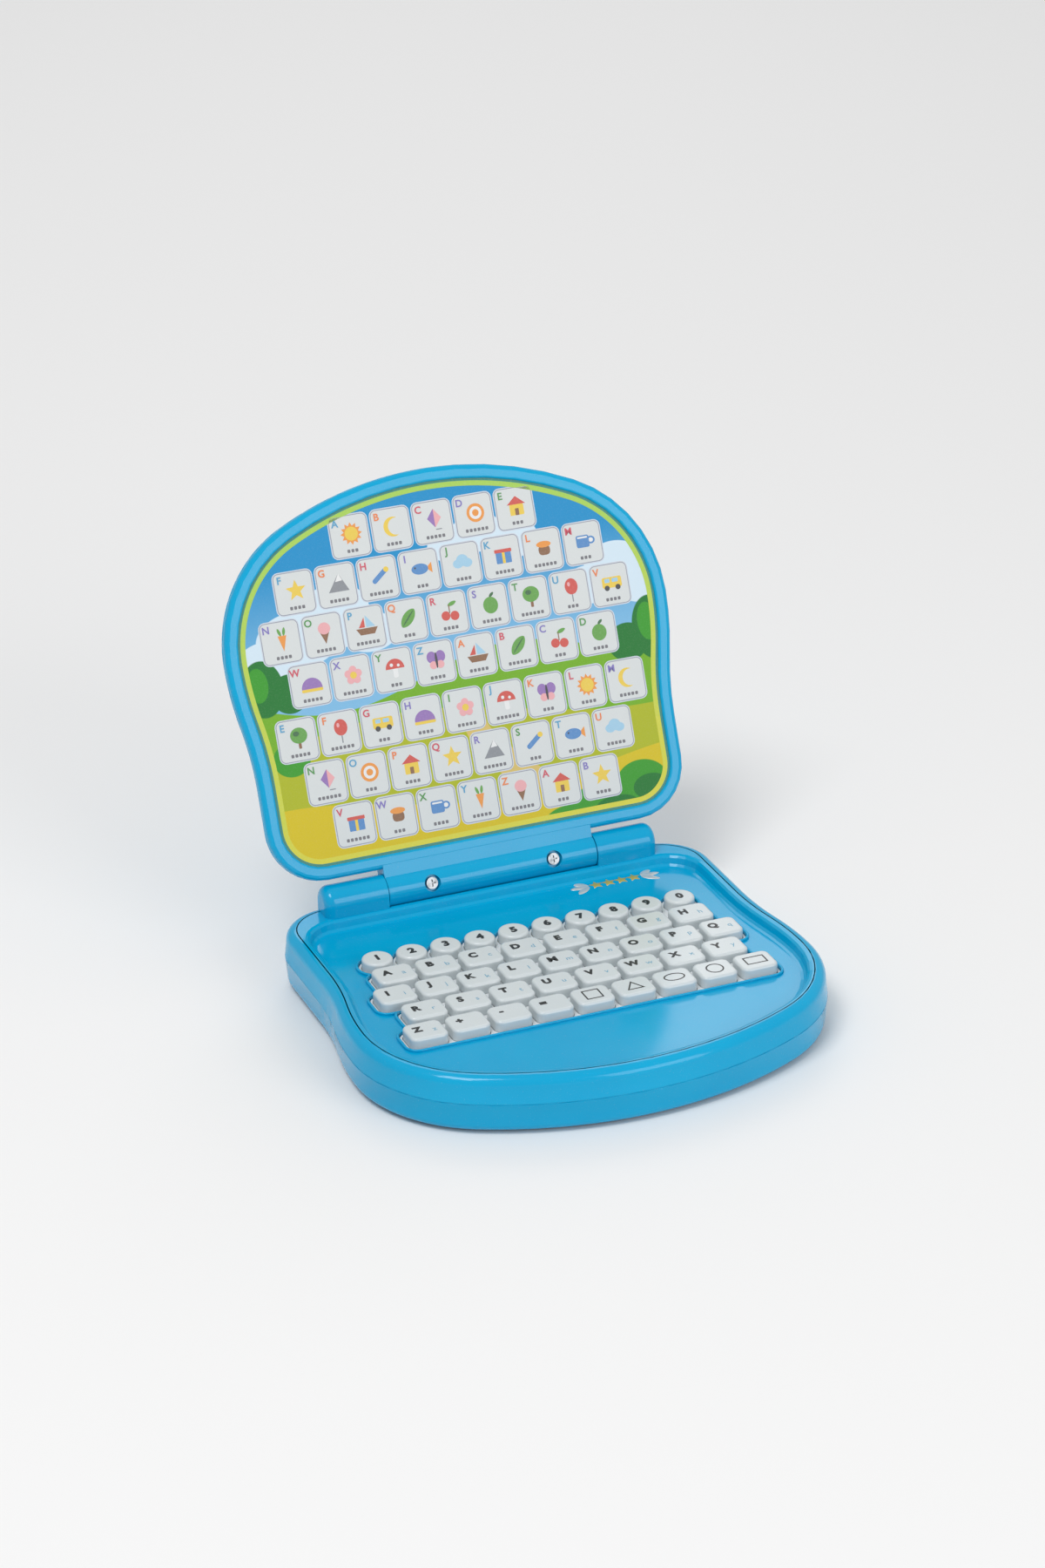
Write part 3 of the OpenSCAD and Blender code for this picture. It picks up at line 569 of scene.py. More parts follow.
@dataclass(frozen=True)
class LandscapePrint:
    """The card's print: sky, clouds, hills, bushes and a lane, all in the lid's own plane."""

    name: str
    axis_mm: tuple[float, float, float]
    tilt: float
    sky_high: Colour = srgb(0, 136, 192)
    sky_low: Colour = srgb(120, 178, 216)
    cloud: Colour = srgb(202, 220, 232)
    far_hill: Colour = srgb(108, 166, 16)
    near_hill: Colour = srgb(166, 174, 18)
    meadow: Colour = srgb(204, 182, 10)
    path: Colour = srgb(212, 182, 112)
    bush: Colour = srgb(6, 112, 36)
    bush_light: Colour = srgb(48, 146, 30)
    paper: Colour = (0.7, 0.7, 0.66)
    gloss: float = 0.22
    sky_from: float = 98.0
    sky_fade: float = 50.0
    clouds: tuple[Blob, ...] = (
        (-72, 118, 20, 13), (-52, 126, 16, 15), (-88, 108, 16, 12), (-38, 116, 14, 9),
        (20, 152, 13, 9), (34, 147, 15, 10), (6, 148, 11, 7),
        (84, 126, 16, 12), (70, 120, 14, 9), (94, 118, 12, 10),
    )
    far_line: RollingLine = RollingLine(92.0, 9.0, 170.0, 0.6)
    far_bushes: tuple[Blob, ...] = (
        (-92, 99, 10, 13), (-80, 95, 9, 9), (97, 96, 10, 15), (84, 91, 10, 9),
    )
    far_bush_lights: tuple[Blob, ...] = ((-94, 101, 5, 8), (95, 99, 5, 9))
    near_line: RollingLine = RollingLine(70.0, 8.0, 240.0, 2.4)
    meadow_line: RollingLine = RollingLine(38.0, 6.0, 200.0, 4.4)
    near_bushes: tuple[Blob, ...] = (
        (62, 22, 18, 9), (80, 27, 13, 10), (44, 17, 14, 6), (-84, 66, 9, 8),
    )
    near_bush_shades: tuple[Blob, ...] = ((84, 24, 9, 6), (66, 18, 11, 5))
    lane_x: float = 18.0
    lane_swing: float = 14.0
    lane_bend: float = 15.0
    lane_far: float = 76.0
    lane_half: float = 4.0
    lane_spread: float = 0.16
    lane_cover: float = 0.85
    grain_mm: float = 0.6
    ripple_mm: float = 5.0
    ripple_depth_mm: float = 0.02

    def plane(self, shader: Shader) -> PlaneMasks:
        """Turns the point on the object into the lid's plane.

        Args:
            shader: The material's builder.

        Returns:
            The masks over that plane.
        """
        inputs = {
            "Vector": shader.place(),
            "Location": tuple(v * MM for v in self.axis_mm),
            "Rotation": (self.tilt, 0.0, 0.0),
            "Scale": (MM, MM, MM),
        }
        turned = shader.node("ShaderNodeMapping", {"vector_type": "TEXTURE"}, inputs).outputs[0]
        return PlaneMasks(*shader.split(Sock(shader, turned)))

    def lane(self, plane: PlaneMasks) -> Sock:
        """The lane's mask: about x = lane_x + lane_swing * sin(v / lane_bend), wider when nearer.

        Args:
            plane: The masks over the lid's plane.

        Returns:
            The mask.
        """
        middle = plane.x - self.lane_x - (plane.v / self.lane_bend).sin() * self.lane_swing
        near = self.lane_far - plane.v
        beside = abs(middle) - near * self.lane_spread - self.lane_half
        return (0.5 - beside * 2.0).clamp() & (near * 1.5).clamp()

    def material(self) -> bpy.types.Material:
        """Lays each form over the last, from the sky down to the nearest bushes.

        Returns:
            The material.
        """
        shader = Shader(self.name)
        plane = self.plane(shader)
        height = ((plane.v - self.sky_from) / self.sky_fade).clamp()
        colour = shader.mix(height, self.sky_low, self.sky_high)
        layers = (
            (plane.clump(self.clouds), self.cloud),
            (plane.under(self.far_line), self.far_hill),
            (plane.clump(self.far_bushes), self.bush),
            (plane.clump(self.far_bush_lights), self.bush_light),
            (plane.under(self.near_line), self.near_hill),
            (self.lane(plane) * self.lane_cover, self.path),
            (plane.under(self.meadow_line), self.meadow),
            (plane.clump(self.near_bushes), self.bush_light),
            (plane.clump(self.near_bush_shades), self.bush),
        )
        for mask, ink in layers:
            colour = shader.mix(mask, colour, ink)
        grain = shader.noise(self.grain_mm, 2.0)
        return shader.done(
            {
                "Base Color": shader.mix(((grain - 0.5) * 0.14).clamp(), colour, self.paper),
                "Roughness": 0.26 + grain * 0.1,
                "Specular IOR Level": self.gloss,
                "Normal": shader.bump(shader.noise(self.ripple_mm, 2.0), self.ripple_depth_mm),
            }
        )


@dataclass(frozen=True)
class PaleFloor:
    """The plain surface under the object."""

    name: str
    colour: Colour
    roughness: float = 0.9
    gloss: float = 0.1

    def material(self) -> bpy.types.Material:
        """An even, matt colour.

        Returns:
            The material.
        """
        shader = Shader(self.name)
        return shader.done(
            {
                "Base Color": self.colour,
                "Roughness": self.roughness,
                "Specular IOR Level": self.gloss,
            }
        )


# --- Surfaces as arrays --------------------------------------------------------------------


@dataclass
class Patch:
    """A closed surface as arrays: points, the corners of its faces, and a colour per face."""

    points: Array
    corners: Array
    counts: Array
    inks: Array

    @staticmethod
    def join(patches: Sequence["Patch"]) -> "Patch":
        """Puts several patches into one.

        Args:
            patches: The patches.

        Returns:
            One patch that holds them all, side by side.
        """
        shifts = np.cumsum([0] + [len(p.points) for p in patches[:-1]])
        return Patch(
            np.concatenate([p.points for p in patches]),
            np.concatenate([p.corners + k for p, k in zip(patches, shifts)]),
            np.concatenate([p.counts for p in patches]),
            np.concatenate([p.inks for p in patches]),
        )

    def moved(self, place: Callable[[Array], Array]) -> "Patch":
        """The same patch with its points carried elsewhere."""
        return Patch(place(self.points), self.corners, self.counts, self.inks)


def arc(cx: float, cy: float, r: float, start: float, end: float, steps: int) -> Array:
    """Points on a circle: centre + r * (cos a, sin a) for a from start to end in degrees."""
    a = np.radians(np.linspace(start, end, steps + 1))
    return np.stack([cx + r * np.cos(a), cy + r * np.sin(a)], axis=1)


def ellipse(cx: float, cy: float, rx: float, ry: float, steps: int = 24, turn: float = 0.0) -> Array:
    """A closed ellipse (rx cos a, ry sin a), turned about its centre.

    Args:
        cx: The centre's x.
        cy: The centre's y.
        rx: Half-axis along x.
        ry: Half-axis along y.
        steps: Number of points.
        turn: The turn in degrees, anticlockwise.

    Returns:
        The points, anticlockwise.
    """
    a = np.linspace(0.0, math.tau, steps, endpoint=False)
    flat = np.stack([rx * np.cos(a), ry * np.sin(a)], axis=1)
    return flat @ turn_matrix(turn).T + (cx, cy)


def turn_matrix(degrees: float) -> Array:
    """The 2 by 2 matrix that turns points anticlockwise."""
    a = math.radians(degrees)
    return np.array([[math.cos(a), -math.sin(a)], [math.sin(a), math.cos(a)]])


def rounded(cx: float, cy: float, w: float, h: float, r: float, steps: int = 4) -> Array:
    """A rectangle with quarter-circle corners of radius r.

    Args:
        cx: The middle's x.
        cy: The middle's y.
        w: Its width.
        h: Its height.
        r: The corners' radius.
        steps: Number of steps round one corner.

    Returns:
        The points, anticlockwise.
    """
    x, y = w / 2 - r, h / 2 - r
    return np.concatenate(
        [
            arc(cx + x, cy - y, r, -90, 0, steps),
            arc(cx + x, cy + y, r, 0, 90, steps),
            arc(cx - x, cy + y, r, 90, 180, steps),
            arc(cx - x, cy - y, r, 180, 270, steps),
        ]
    )


def star(cx: float, cy: float, outer: float, inner: float, tips: int, turn: float = 90.0) -> Array:
    """A star whose radius alternates between outer and inner round the circle.

    Args:
        cx: The middle's x.
        cy: The middle's y.
        outer: The tips' radius.
        inner: The notches' radius.
        tips: Number of tips.
        turn: The first tip's direction in degrees.

    Returns:
        The points, anticlockwise.
    """
    a = np.radians(turn) + np.arange(2 * tips) * math.pi / tips
    r = np.where(np.arange(2 * tips) % 2 == 0, outer, inner)
    return np.stack([cx + r * np.cos(a), cy + r * np.sin(a)], axis=1)


def leaf(cx: float, cy: float, length: float, width: float, turn: float, steps: int = 16) -> Array:
    """A leaf: x along the length, and y as width / 2 times sin(t) ** 1.3 on either side.

    Args:
        cx: The middle's x.
        cy: The middle's y.
        length: From tip to tip.
        width: The greatest width.
        turn: The turn in degrees, anticlockwise.
        steps: Number of points along one side.

    Returns:
        The points, anticlockwise.
    """
    t = np.linspace(0.0, math.pi, steps)
    half = width / 2 * np.sin(t) ** 1.3
    x = -np.cos(t) * length / 2
    lower = np.stack([x, -half], axis=1)
    upper = np.stack([x[-2:0:-1], half[-2:0:-1]], axis=1)
    return np.concatenate([lower, upper]) @ turn_matrix(turn).T + (cx, cy)


def slab(outline: Array, low: float, high: float, ink: Colour) -> Patch:
    """A flat plate: the outline at two heights, its walls, and a face at either end.

    Args:
        outline: Anticlockwise points.
        low: Height of the under face.
        high: Height of the upper face.
        ink: Its colour.

    Returns:
        The closed plate.
    """
    n = len(outline)
    i = np.arange(n)
    k = (i + 1) % n
    under = np.column_stack([outline, np.full(n, low)])
    upper = np.column_stack([outline, np.full(n, high)])
    walls = np.column_stack([i, k, k + n, i + n]).ravel()
    corners = np.concatenate([walls, i[::-1], i + n])
    counts = np.concatenate([np.full(n, 4), [n, n]])
    return Patch(np.concatenate([under, upper]), corners, counts, np.tile(ink, (n + 2, 1)))


def ring(outer: Array, inner: Array, low: float, high: float, ink: Colour) -> Patch:
    """A flat band between two outlines with equal numbers of points, closed all round.

    Args:
        outer: The outer outline, anticlockwise.
        inner: The inner outline, point for point.
        low: Height of the under face.
        high: Height of the upper face.
        ink: Its colour.

    Returns:
        The closed band.
    """
    n = len(outer)
    loops = [(outer, low), (outer, high), (inner, high), (inner, low)]
    points = np.concatenate([np.column_stack([o, np.full(n, z)]) for o, z in loops])
    i = np.arange(n)
    k = (i + 1) % n
    quads = [
        np.column_stack([i + a * n, k + a * n, k + b * n, i + b * n])
        for a, b in ((0, 1), (1, 2), (2, 3), (3, 0))
    ]
    corners = np.concatenate(quads).ravel()
    return Patch(points, corners, np.full(4 * n, 4), np.tile(ink, (4 * n, 1)))


def pillow(outline: Array, base: float, rise: float, ink: Colour, rings: int = 5) -> Patch:
    """A cushion over an outline: shrunk by cos(t) towards its middle, raised by rise * sin(t).

    Args:
        outline: Anticlockwise points.
        base: Height of its flat underside.
        rise: Height of its middle above that.
        ink: Its colour.
        rings: Number of rings of faces.

    Returns:
        The closed cushion.
    """
    n = len(outline)
    t = np.linspace(0.0, math.pi / 2, rings + 1)[:-1]
    middle = outline.mean(axis=0)
    flat = middle + (outline - middle)[None] * np.cos(t)[:, None, None]
    heights = np.broadcast_to((base + rise * np.sin(t))[:, None, None], (rings, n, 1))
    points = np.concatenate([flat, heights], axis=2).reshape(-1, 3)
    tip = len(points)
    points = np.concatenate([points, [[*middle, base + rise]]])
    i = np.arange(n)
    k = (i + 1) % n
    quads = [
        np.column_stack([i + j * n, k + j * n, k + (j + 1) * n, i + (j + 1) * n])
        for j in range(rings - 1)
    ]
    crown = np.column_stack([i + (rings - 1) * n, k + (rings - 1) * n, np.full(n, tip)])
    corners = np.concatenate([np.concatenate(quads).ravel(), crown.ravel(), i[::-1]])
    counts = np.concatenate([np.full(n * (rings - 1), 4), np.full(n, 3), [n]])
    return Patch(points, corners, counts, np.tile(ink, (len(counts), 1)))


def bead(path: Array, radius: float, ink: Colour, sides: int = 10) -> Patch:
    """A round bead carried along a closed flat path.

    Each point p of the path gets a circle p + radius * (cos t * side + sin t * up), where up is z
    and side is the path's direction turned by a quarter.

    Args:
        path: Closed points, anticlockwise, at one height.
        radius: Radius of the bead.
        ink: Its colour.
        sides: Number of faces round it.

    Returns:
        The closed bead.
    """
    n = len(path)
    along = np.roll(path, -1, axis=0) - np.roll(path, 1, axis=0)
    along /= np.linalg.norm(along, axis=1, keepdims=True)
    side = np.column_stack([along[:, 1], -along[:, 0], np.zeros(n)])
    t = np.linspace(0.0, math.tau, sides, endpoint=False)
    up = np.array([0.0, 0.0, 1.0])
    circle = np.cos(t)[None, :, None] * side[:, None] + np.sin(t)[None, :, None] * up
    rings = path[:, None] + radius * circle
    i, j = np.meshgrid(np.arange(n), np.arange(sides), indexing="ij")
    a, b = (i + 1) % n, (j + 1) % sides
    corners = np.stack([i * sides + j, a * sides + j, a * sides + b, i * sides + b], axis=-1).ravel()
    return Patch(rings.reshape(-1, 3), corners, np.full(n * sides, 4), np.tile(ink, (n * sides, 1)))


def band(stack: Array, ink: Colour) -> Patch:
    """A closed band: each ring of points is joined to the next, and the last to the first.

    Args:
        stack: Rings of equally many points, once round the band's own section.
        ink: Its colour.

    Returns:
        The closed band.
    """
    m, n = stack.shape[:2]
    i, j = np.meshgrid(np.arange(m), np.arange(n), indexing="ij")
    i2, j2 = (i + 1) % m, (j + 1) % n
    corners = np.stack([i * n + j, i * n + j2, i2 * n + j2, i2 * n + j], axis=-1).ravel()
    return Patch(stack.reshape(-1, 3), corners, np.full(m * n, 4), np.tile(ink, (m * n, 1)))


def make_piece(
    name: str,
    patch: Patch,
    material: bpy.types.Material,
    body: str,
    slot: Slot,
    smooth: bool = False,
) -> bpy.types.Object:
    """Makes an object of a patch, lets it ride on a body and reports it.

    Args:
        name: The piece's name.
        patch: Its surface, in millimetres in the part's frame.
        material: Its finish.
        body: The body it moves with.
        slot: The record's material slot; not used.
        smooth: Whether its faces are shaded smooth.

    Returns:
        The object.
    """
    mesh = bpy.data.meshes.new(name)
    mesh.vertices.add(len(patch.points))
    mesh.vertices.foreach_set("co", (patch.points * MM).astype(np.float32).ravel())
    mesh.loops.add(len(patch.corners))
    mesh.loops.foreach_set("vertex_index", patch.corners.astype(np.int32))
    mesh.polygons.add(len(patch.counts))
    starts = np.concatenate([[0], np.cumsum(patch.counts)[:-1]])
    mesh.polygons.foreach_set("loop_start", starts.astype(np.int32))
    mesh.update(calc_edges=True)
    inks = np.repeat(np.column_stack([patch.inks, np.ones(len(patch.inks))]), patch.counts, axis=0)
    layer = mesh.attributes.new("ink", "FLOAT_COLOR", "CORNER")
    layer.data.foreach_set("color", inks.astype(np.float32).ravel())
    mesh.polygons.foreach_set("use_smooth", np.full(len(patch.counts), smooth))
    mesh.validate()
    mesh.materials.append(material)
    piece = bpy.data.objects.new(name, mesh)
    bpy.context.scene.collection.objects.link(piece)
    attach(piece, body)
    LOG.info("%s: %d faces on %s", name, len(patch.counts), body)
    return piece


@dataclass
class Type:
    """Flat glyphs as arrays, each worked out once."""

    curve_steps: int = 3
    drawn: dict[tuple[str, float], tuple[Array, Array]] = field(default_factory=dict)

    def trace(self, sign: str, weight: float) -> tuple[Array, Array]:
        """Fills one sign's outlines and reads the mesh that they make.

        Args:
            sign: The letter, digit or sign.
            weight: How much its strokes are thickened, in units.

        Returns:
            Its flat points and its triangles, as they come.
        """
        curve = bpy.data.curves.new("glyph", "FONT")
        curve.body, curve.offset, curve.resolution_u = sign, weight, self.curve_steps
        holder = bpy.data.objects.new("glyph", curve)
        bpy.context.scene.collection.objects.link(holder)
        graph = bpy.context.evaluated_depsgraph_get()
        mesh = bpy.data.meshes.new_from_object(holder.evaluated_get(graph))
        mesh.calc_loop_triangles()
        co = np.empty(len(mesh.vertices) * 3, dtype=np.float32)
        mesh.vertices.foreach_get("co", co)
        tri = np.empty(len(mesh.loop_triangles) * 3, dtype=np.int32)
        mesh.loop_triangles.foreach_get("vertices", tri)
        bpy.data.objects.remove(holder)
        bpy.data.meshes.remove(mesh)
        bpy.data.curves.remove(curve)
        return co.reshape(-1, 3)[:, :2], tri.reshape(-1, 3)

    def glyph(self, sign: str, weight: float) -> tuple[Array, Array]:
        """A sign 1 unit high, centred on the origin.

        Points that coincide are merged, triangles without area dropped and the rest turned
        anticlockwise.

        Args:
            sign: The letter, digit or sign.
            weight: How much its strokes are thickened, in units.

        Returns:
            Its flat points and its triangles.
        """
        key = (sign, weight)
        if key not in self.drawn:
            co, tri = self.trace(sign, weight)
            flat, index = np.unique(co.round(5), axis=0, return_inverse=True)
            tri = index.ravel()[tri]
            tri = tri[(tri != np.roll(tri, 1, axis=1)).all(axis=1)]
            first = flat[tri[:, 0]]
            (ax, ay), (bx, by) = ((flat[tri[:, i]] - first).T for i in (1, 2))
            turned = ax * by < ay * bx
            tri[turned] = tri[turned][:, ::-1]
            low, high = flat.min(axis=0), flat.max(axis=0)
            self.drawn[key] = (flat - (low + high) / 2, tri)
        return self.drawn[key]

    def plate(
        self,
        sign: str,
        size: float,
        weight: float,
        at: Array,
        low: float,
        high: float,
        ink: Colour,
    ) -> Patch:
        """A sign as a thin closed plate.

        The walls stand on the directed edges of triangles that no other triangle runs back along.

        Args:
            sign: The letter, digit or sign.
            size: The type size in millimetres.
            weight: How much its strokes are thickened, in units of the size.
            at: Its centre.
            low: Height of the under face.
            high: Height of the upper face.
            ink: Its colour.

        Returns:
            The closed plate.
        """
        flat, tri = self.glyph(sign, weight)
        n = len(flat)
        edges = np.concatenate([tri[:, [0, 1]], tri[:, [1, 2]], tri[:, [2, 0]]])
        codes, back = edges[:, 0] * n + edges[:, 1], edges[:, 1] * n + edges[:, 0]
        rim = edges[~np.isin(codes, back)]
        points = flat * size + at
        under = np.column_stack([points, np.full(n, low)])
        upper = np.column_stack([points, np.full(n, high)])
        walls = np.column_stack([rim[:, 0], rim[:, 1], rim[:, 1] + n, rim[:, 0] + n])
        corners = np.concatenate([walls.ravel(), tri[:, ::-1].ravel(), (tri + n).ravel()])
        counts = np.concatenate([np.full(len(walls), 4), np.full(2 * len(tri), 3)])
        return Patch(np.concatenate([under, upper]), corners, counts, np.tile(ink, (len(counts), 1)))


# --- The lid -------------------------------------------------------------------------------


@dataclass(frozen=True)
class LidPlane:
    """The open lid's own plane: x across, v along the reach from the hinge, w out of its face."""

    lean_deg: float = 23.0
    hinge_y: float = HINGE[1]
    hinge_z: float = HINGE[2]

    def place(self, points: Array) -> Array:
        """Turns lid points into the part's frame, by a turn about x and a shift.

        Args:
            points: Points (x, v, w).

        Returns:
            The points (x, y, z).
        """
        a = math.radians(90.0 - self.lean_deg)
        x, v, w = points[:, 0], points[:, 1], points[:, 2]
        y = v * math.cos(a) - w * math.sin(a) + self.hinge_y
        z = v * math.sin(a) + w * math.cos(a) + self.hinge_z
        return np.stack([x, y, z], axis=1)


@dataclass(frozen=True)
class ShellOutline:
    """A shell's closed outline, the lid's by default: arcs that meet each other tangentially."""

    half_w: float = 101.3
    bulge: float = 107.0
    near: float = 10.0
    far: float = 184.5
    swell_reach: float = 55.0
    near_corner_r: float = 25.0
    shoulder_r: float = 63.0
    dome_r: float = 165.0
    corner_steps: int = 14
    swell_steps: int = 6
    shoulder_steps: int = 20
    dome_steps: int = 14

    def points(self, inset: float) -> Array:
        """The outline moved inwards, anticlockwise from the near edge's middle.

        The right half is a corner arc, the two arcs of the swell, the shoulder and the dome; the
        left half mirrors it.

        Args:
            inset: How far it is moved inwards.

        Returns:
            The points.
        """
        dome_v = self.far - self.dome_r
        shoulder_x = self.bulge - self.shoulder_r
        shoulder_v = dome_v + math.sqrt((self.dome_r - self.shoulder_r) ** 2 - shoulder_x**2)
        shoulder_a = math.degrees(math.atan2(shoulder_v - dome_v, shoulder_x))
        span = shoulder_v - self.swell_reach
        swell_a = 2 * math.degrees(math.atan((self.bulge - self.half_w) / span))
        swell_r = span / (2 * math.sin(math.radians(swell_a)))
        corner = (self.half_w - self.near_corner_r, self.near + self.near_corner_r)
        waist = (self.half_w + swell_r, self.swell_reach)
        swell = (self.bulge - swell_r, shoulder_v)
        shoulder = (shoulder_x, shoulder_v)
        right = np.concatenate(
            [
                arc(*corner, self.near_corner_r - inset, -90, 0, self.corner_steps),
                arc(*waist, swell_r + inset, 180, 180 - swell_a, self.swell_steps),
                arc(*swell, swell_r - inset, -swell_a, 0, self.swell_steps)[1:],
                arc(*shoulder, self.shoulder_r - inset, 0, shoulder_a, self.shoulder_steps)[1:],
                arc(0.0, dome_v, self.dome_r - inset, shoulder_a, 90, self.dome_steps)[1:],
            ]
        )
        left = right[-2::-1] * (-1.0, 1.0)
        return np.concatenate([right, left])


